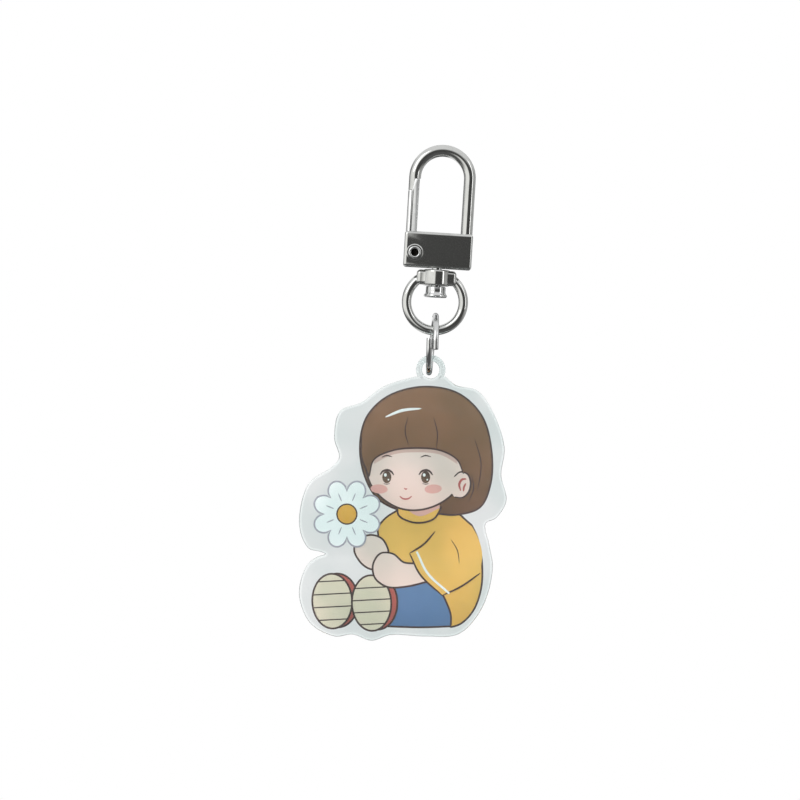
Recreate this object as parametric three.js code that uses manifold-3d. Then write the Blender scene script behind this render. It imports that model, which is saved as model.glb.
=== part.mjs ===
// A keychain: a swivel snap hook, a jump ring and a clear acrylic charm with a print on its back.
// Millimetres. Z is up, X is to the right of the printed picture, and the picture faces -Y.
// The origin is the top of the hook's inner arch, where the keychain hangs.
import * as THREE from 'three';
import { mergeVertices } from 'three/addons/utils/BufferGeometryUtils.js';
import Module from 'manifold-3d';

const wasm = await Module();
wasm.setup();

// Hook: a round bar bent over into a loop, which ends in a nose.
const barDiameter = 2.5;
const loopWidth = 9.1;
const loopLength = 16.15;
const noseLength = 7.4;
const noseLap = 2.5;
const noseTipThickness = 0.85;
const noseTaper = 0.45;

// Block at the foot of the hook.
const blockHeight = 7.5;
const blockDepth = 5.6;
const blockEdge = 0.55;
const blockLedge = 0.15;
const bossWall = 0.8;
const bossHeight = 0.25;

// Gate: a folded channel that turns on a pin in the block.
const gateWidth = 2.3;
const gateDepth = 2.6;
const gateSheet = 0.5;
const gateStep = 0.15;
const hubWall = 0.65;
const gateOpening = 28;
const tongueThickness = 0.7;

// Pin: a rivet across the block, hollow at its front end.
const pinBelowTop = 4.5;
const pinRadius = 0.9;
const pinWall = 0.15;
const pinBoreDepth = 2.4;
const pinHeadLip = 0.45;
const pinHeadThickness = 0.3;
const pinHeadGap = 0.05;

// Torsion spring round the pin.
const springWire = 0.3;
const springTurns = 2.5;
const springPitch = 0.38;
const springLegUp = 3.6;
const springLegDown = 2.2;

// Swivel: a rivet under the block, and a ring with a collar that turns on it.
const neckRadius = 1.05;
const neckGap = 0.3;
const rivetSeat = 2.3;
const rivetHeadRadius = 2.1;
const rivetRimRadius = 2.45;
const rivetHeadHeight = 2.3;
const rivetRimEdge = 0.35;
const rivetRimHeight = 0.85;
const collarHeight = 3.4;
const collarRadius = 2.9;
const collarWidth = 8.4;
const collarDepth = 3.4;
const shoulderHeight = 3.1;
const collarEdge = 0.5;
const ringOuterDiameter = 14.0;
const ringWire = 2.0;
const ringTopTrim = 0.15;

// Jump ring: one turn of wire and a little more, with its ends side by side.
const jumpOuterDiameter = 13.3;
const jumpWire = 1.2;
const jumpLap = 22;
const jumpEndGap = 0.15;

// Charm: a clear plate with a tab, and two ink layers behind it.
const plateThickness = 3.0;
const charmHeight = 55.8;
const charmTilt = -3.5;
const tabHoleRadius = 1.85;
const tabWall = 1.25;
const tabSink = 1.65;
const inkThickness = 0.1;

// Clearances.
const runningGap = 0.15;
const pinGap = 0.1;
const gateGap = 0.2;
const noseGap = 0.3;
const linkSlack = 1.55;
const inkGap = 0.05;

// Outlines are drawn on a charm 55.8 high, as [right, up] from the middle of the neck under the tab.
const drawnHeight = 55.8;
const cutLine = [
  [3.1, 0.0], [5.3, -1.8], [9.9, -3.0], [13.4, -8.0], [15.6, -15.1], [14.9, -20.8],
  [16.0, -26.2], [13.8, -29.9], [11.6, -31.1], [12.4, -35.6], [13.1, -40.6], [10.8, -49.0],
  [5.9, -54.4], [-1.2, -54.9], [-8.5, -54.6], [-12.5, -55.8], [-16.5, -54.5], [-20.3, -54.9],
  [-25.4, -52.2], [-27.8, -46.6], [-27.2, -42.0], [-25.8, -39.4], [-23.9, -38.1], [-22.3, -37.5],
  [-23.8, -36.9], [-25.7, -36.4], [-27.3, -33.8], [-27.8, -29.6],
  [-25.8, -22.5], [-21.1, -19.2], [-19.4, -17.1], [-20.4, -13.0], [-19.2, -7.3], [-14.8, -5.5],
  [-10.0, -2.1], [-4.1, -0.2], [-3.1, 0.0],
];
const printLine = [
  [0.3, -1.7], [3.4, -2.8], [5.3, -4.2], [7.8, -4.2], [10.4, -6.3], [12.7, -12.0],
  [13.7, -17.2], [12.8, -21.0], [13.9, -26.6], [12.6, -28.7], [9.3, -30.5], [10.5, -37.2],
  [10.6, -44.6], [7.8, -51.0], [4.3, -52.9], [-9.0, -52.8], [-12.6, -53.6], [-16.5, -52.3],
  [-20.9, -52.7], [-25.0, -47.2], [-22.8, -42.0], [-18.0, -40.6], [-17.6, -37.0], [-21.6, -36.0],
  [-25.1, -29.4], [-22.8, -23.9], [-17.8, -21.6], [-14.9, -20.4], [-16.0, -17.0], [-17.3, -13.4],
  [-16.7, -8.4], [-13.2, -7.0], [-10.6, -4.8], [-6.4, -2.7], [-2.2, -1.8],
];

// Heights and places that follow from the sizes above.
const radians = Math.PI / 180;
const barRadius = barDiameter / 2;
const archRadius = loopWidth / 2 + barRadius;
const archCentreZ = -loopWidth / 2;
const blockWidth = loopWidth + 2 * barDiameter + 2 * blockLedge;
const blockTop = -loopLength;
const blockBottom = blockTop - blockHeight;
const barOuterX = -archRadius - barRadius;
const gateInnerX = barOuterX + gateWidth;
const pinBoreRadius = pinRadius - pinWall;
const pinHeadRadius = pinRadius + pinHeadLip;
const bossRadius = pinRadius + pinGap + bossWall;
const gateHubRadius = pinRadius + pinGap + hubWall;
const springRadius = pinRadius + runningGap + springWire;
const pinX = barOuterX + gateSheet + runningGap + springWire / 2 + springRadius;
const pinZ = blockTop - pinBelowTop;
const slotHalfDepth = gateDepth / 2 + gateGap;
const openAngle = gateOpening * radians;
const slotReach = Math.sin(openAngle) * pinBelowTop + Math.cos(openAngle) * (gateInnerX - pinX);
const slotInnerX = pinX + slotReach + 2 * gateGap;
const slotFloor = pinZ - gateHubRadius - 2 * gateGap;
const noseFlatX = barOuterX + noseTipThickness;
const collarTop = blockBottom - neckGap;
const collarBottom = collarTop - collarHeight;
const ringOuterRadius = ringOuterDiameter / 2;
const ringMeanRadius = ringOuterRadius - ringWire / 2;
const ringCentreZ = collarTop + ringTopTrim - ringOuterRadius;
const ringSeatZ = ringCentreZ - ringOuterRadius + ringWire;
const jumpMeanRadius = (jumpOuterDiameter - jumpWire) / 2;
const jumpInnerRadius = jumpOuterDiameter / 2 - jumpWire;
const jumpCentreZ = ringSeatZ + linkSlack - jumpInnerRadius;
const holeSlack = (tabHoleRadius - jumpWire / 2) / 2;
const holeCentreZ = jumpCentreZ - jumpMeanRadius + holeSlack;
const tabRadius = tabHoleRadius + tabWall;
const neckZ = tabSink - tabRadius;
const charmScale = charmHeight / drawnHeight;

const steel = new THREE.MeshStandardMaterial({ color: 0xc9cbcb, roughness: 0.14, metalness: 1 });
const castMetal = new THREE.MeshStandardMaterial({ color: 0xbfc1be, roughness: 0.16, metalness: 1 });
const springSteel = new THREE.MeshStandardMaterial({ color: 0x9a9c9e, roughness: 0.3, metalness: 1 });
const acrylic = new THREE.MeshStandardMaterial({ color: 0xdfe8e6, roughness: 0.05, metalness: 0 });
const colourInk = new THREE.MeshStandardMaterial({ color: 0x7fa08c, roughness: 0.5, metalness: 0 });
const whiteInk = new THREE.MeshStandardMaterial({ color: 0xf4f5f3, roughness: 0.6, metalness: 0 });

// A closed three.js geometry as a solid that can be joined and cut.
function solid(geometry) {
  geometry.deleteAttribute('normal');
  geometry.deleteAttribute('uv');
  const merged = mergeVertices(geometry, 1e-4);
  const vertProperties = merged.attributes.position.array;
  const triVerts = merged.index.array;
  return new wasm.Manifold(new wasm.Mesh({ numProp: 3, vertProperties, triVerts }));
}

function geometryOf(shapeSolid) {
  const result = shapeSolid.getMesh();
  const geometry = new THREE.BufferGeometry();
  geometry.setAttribute('position', new THREE.BufferAttribute(result.vertProperties, 3));
  geometry.setIndex(new THREE.BufferAttribute(result.triVerts, 1));
  geometry.computeVertexNormals();
  return geometry;
}

// An outline in X and Z, extruded in Y between two depths.
function slab(points, fromY, toY) {
  const shape = new THREE.Shape(points.map(([x, z]) => new THREE.Vector2(x, z)));
  const geometry = new THREE.ExtrudeGeometry(shape, { depth: toY - fromY, bevelEnabled: false });
  geometry.rotateX(Math.PI / 2);
  geometry.translate(0, toY, 0);
  return geometry;
}

// A box with rounded front and back edges, centred on X and Y.
function edgedBox(width, depth, height, edge, middleZ) {
  const x = width / 2 - edge;
  const z = height / 2 - edge;
  const corners = [[-x, -z], [x, -z], [x, z], [-x, z]];
  const shape = new THREE.Shape(corners.map(([right, up]) => new THREE.Vector2(right, up)));
  const flat = depth - 2 * edge;
  const bevel = { bevelThickness: edge, bevelSize: edge, bevelSegments: 3 };
  const geometry = new THREE.ExtrudeGeometry(shape, { depth: flat, bevelEnabled: true, ...bevel });
  geometry.rotateX(Math.PI / 2);
  geometry.translate(0, flat / 2, middleZ);
  return geometry;
}

function plainBox(fromX, toX, fromY, toY, fromZ, toZ) {
  const geometry = new THREE.BoxGeometry(toX - fromX, toY - fromY, toZ - fromZ);
  geometry.translate((fromX + toX) / 2, (fromY + toY) / 2, (fromZ + toZ) / 2);
  return geometry;
}

// A cylinder across the part, along Y.
function crossCylinder(radius, length, x, z, sides = 32) {
  const geometry = new THREE.CylinderGeometry(radius, radius, length, sides);
  geometry.translate(x, 0, z);
  return geometry;
}

// A profile of [radius, along] turned round Y, or round Z when it stands.
function turned(profile, sides, standing) {
  const points = profile.map(([radius, along]) => new THREE.Vector2(radius, along));
  const geometry = new THREE.LatheGeometry(points, sides);
  if (standing) geometry.rotateX(Math.PI / 2);
  return geometry;
}

// A round wire along a curve.
function wire(path, diameter, steps, sides) {
  const section = new THREE.Shape();
  section.absarc(0, 0, diameter / 2, 0, 2 * Math.PI);
  const options = { steps, curveSegments: sides / 2, bevelEnabled: false, extrudePath: path };
  return new THREE.ExtrudeGeometry(section, options);
}

// The bar runs up the right leg, over the arch and down to the tip of the nose.
function hookPath() {
  const path = new THREE.CurvePath();
  const foot = new THREE.Vector3(archRadius, 0, blockTop - barRadius);
  const arch = [];
  const archSteps = 24;
  for (let i = 0; i <= archSteps; i += 1) {
    const angle = (Math.PI * i) / archSteps;
    const x = archRadius * Math.cos(angle);
    arch.push(new THREE.Vector3(x, 0, archCentreZ + archRadius * Math.sin(angle)));
  }
  const tip = new THREE.Vector3(-archRadius, 0, -noseLength);
  path.add(new THREE.LineCurve3(foot, arch[0]));
  path.add(new THREE.CatmullRomCurve3(arch));
  path.add(new THREE.LineCurve3(arch[archSteps], tip));
  return path;
}

// The inner half of the nose is cut away, and the gate's tongue laps it there.
function noseCut() {
  const top = noseLap - noseLength;
  const innerX = -loopWidth / 2 + barRadius;
  return slab([
    [noseFlatX + noseTaper, top],
    [innerX, top],
    [innerX, blockTop],
    [noseFlatX, blockTop],
    [noseFlatX, -noseLength],
  ], -barDiameter, barDiameter);
}

function makeClaspBody() {
  let body = solid(wire(hookPath(), barDiameter, 40, 14)).subtract(solid(noseCut()));
  const middle = (blockTop + blockBottom) / 2;
  body = body.add(solid(edgedBox(blockWidth, blockDepth, blockHeight, blockEdge, middle)));
  body = body.add(solid(crossCylinder(bossRadius, blockDepth + 2 * bossHeight, pinX, pinZ)));
  const slotTop = blockTop + gateGap;
  const slot = plainBox(-blockWidth, slotInnerX, -slotHalfDepth, slotHalfDepth, slotFloor, slotTop);
  body = body.subtract(solid(slot));
  body = body.subtract(solid(crossCylinder(pinRadius + pinGap, 2 * blockDepth, pinX, pinZ)));
  const seat = new THREE.CylinderGeometry(neckRadius + pinGap, neckRadius + pinGap, 2 * rivetSeat, 24);
  seat.rotateX(Math.PI / 2);
  seat.translate(0, 0, blockBottom);
  return geometryOf(body.subtract(solid(seat)));
}

// The gate in its closed place: a channel with its web outside, a hub at the pin and a tongue at the top.
function makeGate() {
  const half = gateDepth / 2;
  const shoulderZ = -noseLength - noseGap;
  const tongueZ = noseLap - noseLength - noseGap;
  const tongueX = gateInnerX - tongueThickness;
  const lever = slab([
    [barOuterX, pinZ],
    [gateInnerX, pinZ],
    [gateInnerX, tongueZ],
    [tongueX, tongueZ],
    [noseFlatX + noseGap, shoulderZ],
    [barOuterX, shoulderZ],
  ], -half, half);
  let gate = solid(lever).add(solid(crossCylinder(gateHubRadius, gateDepth, pinX, pinZ)));
  const reach = gateInnerX + gateHubRadius + gateWidth;
  const inside = half - gateSheet;
  const channelTop = shoulderZ - gateWidth / 2;
  const channelFoot = pinZ - 2 * gateHubRadius;
  const webX = barOuterX + gateSheet;
  gate = gate.subtract(solid(plainBox(webX, reach, -inside, inside, channelFoot, channelTop)));
  const stepX = (barOuterX + gateInnerX) / 2;
  const stepZ = blockTop + gateGap;
  const face = half - gateStep;
  gate = gate.subtract(solid(plainBox(stepX, reach, face, gateDepth, stepZ, 0)));
  gate = gate.subtract(solid(plainBox(stepX, reach, -gateDepth, -face, stepZ, 0)));
  const hubLeft = pinX - gateHubRadius;
  const hubTop = pinZ + gateHubRadius;
  const webFoot = plainBox(2 * barOuterX, hubLeft, -gateDepth, gateDepth, channelFoot, hubTop);
  gate = gate.subtract(solid(webFoot));
  const bore = crossCylinder(pinRadius + pinGap, 2 * gateDepth, pinX, pinZ);
  return geometryOf(gate.subtract(solid(bore)));
}

function makePin() {
  const seat = blockDepth / 2 + bossHeight + pinHeadGap;
  const end = seat + pinHeadThickness;
  const lip = pinBoreRadius + pinHeadThickness / 2;
  const profile = [
    [0, pinBoreDepth - end],
    [pinBoreRadius, pinBoreDepth - end],
    [pinBoreRadius, pinHeadThickness - end],
    [lip, -end],
    [pinHeadRadius - pinHeadThickness / 2, -end],
    [pinHeadRadius, -seat],
    [pinRadius, -seat],
    [pinRadius, seat],
    [pinHeadRadius, seat],
    [pinHeadRadius - pinHeadThickness / 2, end],
    [0, end],
  ];
  const geometry = turned(profile, 28, false);
  geometry.translate(pinX, 0, pinZ);
  return geometry;
}

// One leg lies inside the gate's web, and the other stands against the slot.
function makeSpring() {
  const stepsPerTurn = 16;
  const steps = springTurns * stepsPerTurn;
  const points = [new THREE.Vector3(pinX - springRadius, 0, pinZ + springLegUp)];
  points.push(new THREE.Vector3(pinX - springRadius, 0, pinZ + springLegUp / 2));
  for (let i = 0; i <= steps; i += 1) {
    const angle = Math.PI + (2 * Math.PI * i) / stepsPerTurn;
    const x = pinX + springRadius * Math.cos(angle);
    const z = pinZ + springRadius * Math.sin(angle);
    points.push(new THREE.Vector3(x, (i * springPitch) / stepsPerTurn, z));
  }
  const last = points[points.length - 1];
  points.push(new THREE.Vector3(last.x, last.y, pinZ + springLegDown / 2));
  points.push(new THREE.Vector3(last.x, last.y, pinZ + springLegDown));
  const middle = last.y / 2;
  points.forEach((point) => { point.y -= middle; });
  return wire(new THREE.CatmullRomCurve3(points), springWire, 110, 6);
}

function makeSwivelRivet() {
  const seatTop = blockBottom + rivetSeat - runningGap;
  const headTop = collarBottom - runningGap;
  const headBottom = headTop - rivetHeadHeight;
  return turned([
    [0, headBottom],
    [rivetRimRadius - rivetRimEdge / 2, headBottom],
    [rivetRimRadius, headBottom + rivetRimEdge],
    [rivetHeadRadius, headBottom + rivetRimHeight],
    [rivetHeadRadius, headTop],
    [neckRadius, headTop],
    [neckRadius, seatTop],
    [0, seatTop],
  ], 28, true);
}

// A cast ring whose top runs into a barrel and two shoulders.
function makeSwivelRing() {
  const torus = new THREE.TorusGeometry(ringMeanRadius, ringWire / 2, 14, 56);
  torus.rotateX(Math.PI / 2);
  torus.translate(0, 0, ringCentreZ);
  const middle = (collarTop + collarBottom) / 2;
  const shoulders = edgedBox(collarWidth, collarDepth, shoulderHeight, collarEdge, middle);
  const barrel = turned([
    [0, collarBottom],
    [collarRadius - collarEdge, collarBottom],
    [collarRadius, collarBottom + collarEdge],
    [collarRadius, collarTop - collarEdge],
    [collarRadius - collarEdge, collarTop],
    [0, collarTop],
  ], 32, true);
  let ring = solid(torus).add(solid(shoulders)).add(solid(barrel));
  const wide = ringOuterDiameter;
  ring = ring.subtract(solid(plainBox(-wide, wide, -wide, wide, collarTop, collarTop + wide)));
  const boreRadius = neckRadius + runningGap;
  const bore = new THREE.CylinderGeometry(boreRadius, boreRadius, 3 * collarHeight, 24);
  bore.rotateX(Math.PI / 2);
  bore.translate(0, 0, middle);
  return geometryOf(ring.subtract(solid(bore)));
}

// The wire starts at the front and goes down and round, moving sideways as it goes.
function makeJumpRing() {
  const sweep = 360 + jumpLap;
  const sideways = ((jumpWire + jumpEndGap) * sweep) / 360;
  const steps = 52;
  const points = [];
  for (let i = 0; i <= steps; i += 1) {
    const share = i / steps;
    const angle = (180 - jumpLap / 2 + sweep * share) * radians;
    const x = sideways * (share - 0.5);
    const y = jumpMeanRadius * Math.cos(angle);
    const z = jumpCentreZ + jumpMeanRadius * Math.sin(angle);
    points.push(new THREE.Vector3(x, y, z));
  }
  return wire(new THREE.CatmullRomCurve3(points), jumpWire, steps, 12);
}

// A smooth outline of the charm, in its own frame round the tab hole.
function charmOutline(drawn, closed, steps) {
  const place = ([x, z]) => new THREE.Vector3(x * charmScale, 0, neckZ + z * charmScale);
  const curve = new THREE.CatmullRomCurve3(drawn.map(place), closed, 'centripetal');
  const outline = curve.getPoints(steps).map((point) => [point.x, point.z]);
  return closed ? outline.slice(0, -1) : outline;
}

function makePlate() {
  const half = plateThickness / 2;
  const body = solid(slab(charmOutline(cutLine, false, 160), -half, half));
  const tab = solid(crossCylinder(tabRadius, plateThickness, 0, 0, 48));
  const hole = solid(crossCylinder(tabHoleRadius, 2 * plateThickness, 0, 0, 40));
  return geometryOf(body.add(tab).subtract(hole));
}

function makeInk(layer) {
  const front = plateThickness / 2 + inkGap + layer * (inkThickness + inkGap);
  return slab(charmOutline(printLine, true, 140), front, front + inkThickness);
}

function piece(name, geometry, material) {
  const mesh = new THREE.Mesh(geometry, material);
  mesh.name = name;
  return mesh;
}

const charm = new THREE.Group();
charm.position.set(0, 0, holeCentreZ);
charm.rotation.y = charmTilt * radians;
charm.add(piece('acrylic_plate', makePlate(), acrylic));
charm.add(piece('colour_print', makeInk(0), colourInk));
charm.add(piece('white_backing', makeInk(1), whiteInk));

const keychain = new THREE.Group();
keychain.add(piece('clasp_body', makeClaspBody(), castMetal));
keychain.add(piece('gate', makeGate(), steel));
keychain.add(piece('gate_pin', makePin(), steel));
keychain.add(piece('gate_spring', makeSpring(), springSteel));
keychain.add(piece('swivel_rivet', makeSwivelRivet(), steel));
keychain.add(piece('swivel_ring', makeSwivelRing(), castMetal));
keychain.add(piece('jump_ring', makeJumpRing(), steel));
keychain.add(charm);

export default keychain;
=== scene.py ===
import math

import bmesh
import bpy
from mathutils import Matrix, Vector


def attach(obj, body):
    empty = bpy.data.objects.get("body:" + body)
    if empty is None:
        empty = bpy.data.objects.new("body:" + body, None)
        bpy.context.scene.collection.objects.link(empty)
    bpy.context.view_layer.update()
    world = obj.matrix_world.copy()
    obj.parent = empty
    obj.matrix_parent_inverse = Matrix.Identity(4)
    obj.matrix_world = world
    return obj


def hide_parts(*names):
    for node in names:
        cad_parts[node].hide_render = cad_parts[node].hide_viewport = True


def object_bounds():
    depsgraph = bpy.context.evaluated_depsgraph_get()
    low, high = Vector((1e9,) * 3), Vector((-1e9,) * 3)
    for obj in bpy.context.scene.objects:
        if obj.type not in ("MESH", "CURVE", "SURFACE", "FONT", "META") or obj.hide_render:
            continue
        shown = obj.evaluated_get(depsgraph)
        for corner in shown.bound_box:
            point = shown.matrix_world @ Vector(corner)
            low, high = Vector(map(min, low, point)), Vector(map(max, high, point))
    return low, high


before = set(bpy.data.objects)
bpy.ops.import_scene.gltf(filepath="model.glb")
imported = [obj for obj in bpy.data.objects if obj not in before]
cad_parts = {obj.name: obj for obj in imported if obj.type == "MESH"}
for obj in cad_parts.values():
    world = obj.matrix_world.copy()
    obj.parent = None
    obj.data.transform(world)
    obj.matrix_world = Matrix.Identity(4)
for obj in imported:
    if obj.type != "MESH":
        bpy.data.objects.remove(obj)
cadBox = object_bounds()
mm = 0.001
print("frame loaded:", len(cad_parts), "nodes")


# Small helpers for node trees.

def addNode(tree, kind, **settings):
    node = tree.nodes.new(kind)
    for key, value in settings.items():
        setattr(node, key, value)
    return node


def setInputs(node, values):
    for key, value in values.items():
        node.inputs[key].default_value = value
    return node


def mathNode(tree, operation, first, second=None):
    node = addNode(tree, "ShaderNodeMath", operation=operation)
    for index, value in enumerate((first, second)):
        if value is None:
            continue
        if hasattr(value, "is_output"):
            tree.links.new(value, node.inputs[index])
        else:
            node.inputs[index].default_value = value
    return node.outputs[0]


def mapRange(tree, value, fromLow, fromHigh, toLow, toHigh):
    node = addNode(tree, "ShaderNodeMapRange")
    tree.links.new(value, node.inputs["Value"])
    setInputs(node, {"From Min": fromLow, "From Max": fromHigh, "To Min": toLow, "To Max": toHigh})
    return node.outputs["Result"]


def noiseNode(tree, vector, scale, detail=3.0, roughness=0.5):
    node = addNode(tree, "ShaderNodeTexNoise")
    setInputs(node, {"Scale": scale, "Detail": detail, "Roughness": roughness})
    tree.links.new(vector, node.inputs["Vector"])
    return node.outputs["Fac"]


def stretched(tree, vector, scale, location=(0, 0, 0)):
    node = addNode(tree, "ShaderNodeMapping")
    setInputs(node, {"Scale": scale, "Location": location})
    tree.links.new(vector, node.inputs["Vector"])
    return node.outputs["Vector"]


def newSocket(tree, name, direction, kind, value=None):
    socket = tree.interface.new_socket(name=name, in_out=direction, socket_type=kind)
    if value is not None:
        socket.default_value = value
    return socket


# Shader groups that several finishes share.

def buildPlatingWear():
    # Polishing lines, faint orange peel and handling marks of a bright plated surface.
    tree = bpy.data.node_groups.new("platingWear", "ShaderNodeTree")
    newSocket(tree, "Vector", "INPUT", "NodeSocketVector")
    newSocket(tree, "Line Scale", "INPUT", "NodeSocketFloat", 900.0)
    newSocket(tree, "Peel Scale", "INPUT", "NodeSocketFloat", 500.0)
    newSocket(tree, "Low Roughness", "INPUT", "NodeSocketFloat", 0.06)
    newSocket(tree, "High Roughness", "INPUT", "NodeSocketFloat", 0.22)
    newSocket(tree, "Roughness", "OUTPUT", "NodeSocketFloat")
    newSocket(tree, "Height", "OUTPUT", "NodeSocketFloat")
    newSocket(tree, "Dulling", "OUTPUT", "NodeSocketFloat")
    inside = addNode(tree, "NodeGroupInput")
    out = addNode(tree, "NodeGroupOutput")
    vector = inside.outputs["Vector"]
    lines = addNode(tree, "ShaderNodeTexNoise")
    setInputs(lines, {"Detail": 2.0, "Roughness": 0.6})
    tree.links.new(stretched(tree, vector, (1.0, 1.0, 0.08)), lines.inputs["Vector"])
    tree.links.new(inside.outputs["Line Scale"], lines.inputs["Scale"])
    peel = addNode(tree, "ShaderNodeTexNoise")
    setInputs(peel, {"Detail": 2.0, "Roughness": 0.45})
    tree.links.new(vector, peel.inputs["Vector"])
    tree.links.new(inside.outputs["Peel Scale"], peel.inputs["Scale"])
    marks = noiseNode(tree, vector, 260.0, 4.0, 0.65)
    dull = mapRange(tree, marks, 0.48, 0.78, 0.0, 1.0)
    mixed = mathNode(
        tree, "ADD", mathNode(tree, "MULTIPLY", dull, 0.7),
        mathNode(tree, "MULTIPLY", lines.outputs["Fac"], 0.3),
    )
    rough = addNode(tree, "ShaderNodeMapRange")
    tree.links.new(mixed, rough.inputs["Value"])
    tree.links.new(inside.outputs["Low Roughness"], rough.inputs["To Min"])
    tree.links.new(inside.outputs["High Roughness"], rough.inputs["To Max"])
    tree.links.new(rough.outputs["Result"], out.inputs["Roughness"])
    height = mathNode(
        tree, "ADD", mathNode(tree, "MULTIPLY", peel.outputs["Fac"], 0.8),
        mathNode(tree, "MULTIPLY", lines.outputs["Fac"], 0.2),
    )
    tree.links.new(height, out.inputs["Height"])
    tree.links.new(mapRange(tree, mixed, 0.0, 1.0, 1.0, 0.82), out.inputs["Dulling"])
    return tree


def buildInkGrain():
    # Fine dots and slight banding of a flatbed printer's ink.
    tree = bpy.data.node_groups.new("inkGrain", "ShaderNodeTree")
    newSocket(tree, "Color", "INPUT", "NodeSocketColor", (1, 1, 1, 1))
    newSocket(tree, "Vector", "INPUT", "NodeSocketVector")
    newSocket(tree, "Dot Scale", "INPUT", "NodeSocketFloat", 7000.0)
    newSocket(tree, "Strength", "INPUT", "NodeSocketFloat", 0.05)
    newSocket(tree, "Color", "OUTPUT", "NodeSocketColor")
    newSocket(tree, "Height", "OUTPUT", "NodeSocketFloat")
    inside = addNode(tree, "NodeGroupInput")
    out = addNode(tree, "NodeGroupOutput")
    dots = addNode(tree, "ShaderNodeTexVoronoi", feature="F1")
    tree.links.new(inside.outputs["Vector"], dots.inputs["Vector"])
    tree.links.new(inside.outputs["Dot Scale"], dots.inputs["Scale"])
    band = noiseNode(tree, stretched(tree, inside.outputs["Vector"], (0.15, 1.0, 1.0)), 900.0, 1.0)
    cloud = noiseNode(tree, inside.outputs["Vector"], 130.0, 3.0)
    total = mathNode(tree, "ADD", mathNode(tree, "ADD", dots.outputs["Distance"], band), cloud)
    centred = mathNode(tree, "SUBTRACT", total, 1.4)
    factor = mathNode(tree, "ADD", mathNode(tree, "MULTIPLY", centred, inside.outputs["Strength"]), 1.0)
    scaled = addNode(tree, "ShaderNodeVectorMath", operation="SCALE")
    tree.links.new(inside.outputs["Color"], scaled.inputs[0])
    tree.links.new(factor, scaled.inputs["Scale"])
    tree.links.new(scaled.outputs["Vector"], out.inputs["Color"])
    tree.links.new(dots.outputs["Distance"], out.inputs["Height"])
    return tree


platingWear = buildPlatingWear()
inkGrain = buildInkGrain()


# Materials.

def newMaterial(name):
    material = bpy.data.materials.new(name)
    material.use_nodes = True
    tree = material.node_tree
    shader = tree.nodes["Principled BSDF"]
    coords = addNode(tree, "ShaderNodeTexCoord").outputs["Object"]
    return material, tree, shader, coords


def addBump(tree, shader, height, strength, distance):
    bump = addNode(tree, "ShaderNodeBump")
    setInputs(bump, {"Strength": strength, "Distance": distance})
    tree.links.new(height, bump.inputs["Height"])
    tree.links.new(bump.outputs["Normal"], shader.inputs["Normal"])


def linear(colour):
    # sRGB values from 0 to 255 as a linear colour.
    parts = [c / 255 for c in colour]
    parts = [c / 12.92 if c <= 0.04045 else ((c + 0.055) / 1.055) ** 2.4 for c in parts]
    return (*parts, 1.0)


def platedMetal(name, look):
    material, tree, shader, coords = newMaterial(name)
    setInputs(shader, {"Metallic": 1.0, "IOR": 2.2})
    wear = addNode(tree, "ShaderNodeGroup", node_tree=platingWear)
    tree.links.new(coords, wear.inputs["Vector"])
    setInputs(wear, {"Line Scale": look["lineScale"], "Peel Scale": look["peelScale"]})
    setInputs(wear, {"Low Roughness": look["roughness"][0], "High Roughness": look["roughness"][1]})
    tone = addNode(tree, "ShaderNodeMix", data_type="RGBA")
    tree.links.new(mapRange(tree, wear.outputs["Dulling"], 0.82, 1.0, 0.0, 1.0), tone.inputs["Factor"])
    tone.inputs["A"].default_value = linear(look["dullColour"])
    tone.inputs["B"].default_value = linear(look["colour"])
    tree.links.new(tone.outputs["Result"], shader.inputs["Base Color"])
    tree.links.new(wear.outputs["Roughness"], shader.inputs["Roughness"])
    addBump(tree, shader, wear.outputs["Height"], look["bump"], 0.02 * mm)
    return material


def inkMaterial(name, stops, low, high, strength=0.05, roughness=0.45):
    # Colour stops run up the part, from low to high in metres.
    material, tree, shader, coords = newMaterial(name)
    split = addNode(tree, "ShaderNodeSeparateXYZ")
    tree.links.new(coords, split.inputs[0])
    place = mapRange(tree, split.outputs["Z"], low, high, 0.0, 1.0)
    soft = mathNode(
        tree, "ADD", place, mapRange(tree, noiseNode(tree, coords, 160.0), 0.0, 1.0, -0.04, 0.04),
    )
    ramp = addNode(tree, "ShaderNodeValToRGB")
    tree.links.new(soft, ramp.inputs["Fac"])
    elements = ramp.color_ramp.elements
    while len(elements) < len(stops):
        elements.new(0.5)
    for element, (position, colour) in zip(elements, stops):
        element.position = position
        element.color = linear(colour)
    grain = addNode(tree, "ShaderNodeGroup", node_tree=inkGrain)
    grain.inputs["Strength"].default_value = strength
    tree.links.new(ramp.outputs["Color"], grain.inputs["Color"])
    tree.links.new(coords, grain.inputs["Vector"])
    tree.links.new(grain.outputs["Color"], shader.inputs["Base Color"])
    setInputs(shader, {"Roughness": roughness, "Specular IOR Level": 0.25})
    addBump(tree, shader, grain.outputs["Height"], 0.15, 0.005 * mm)
    return material


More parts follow.
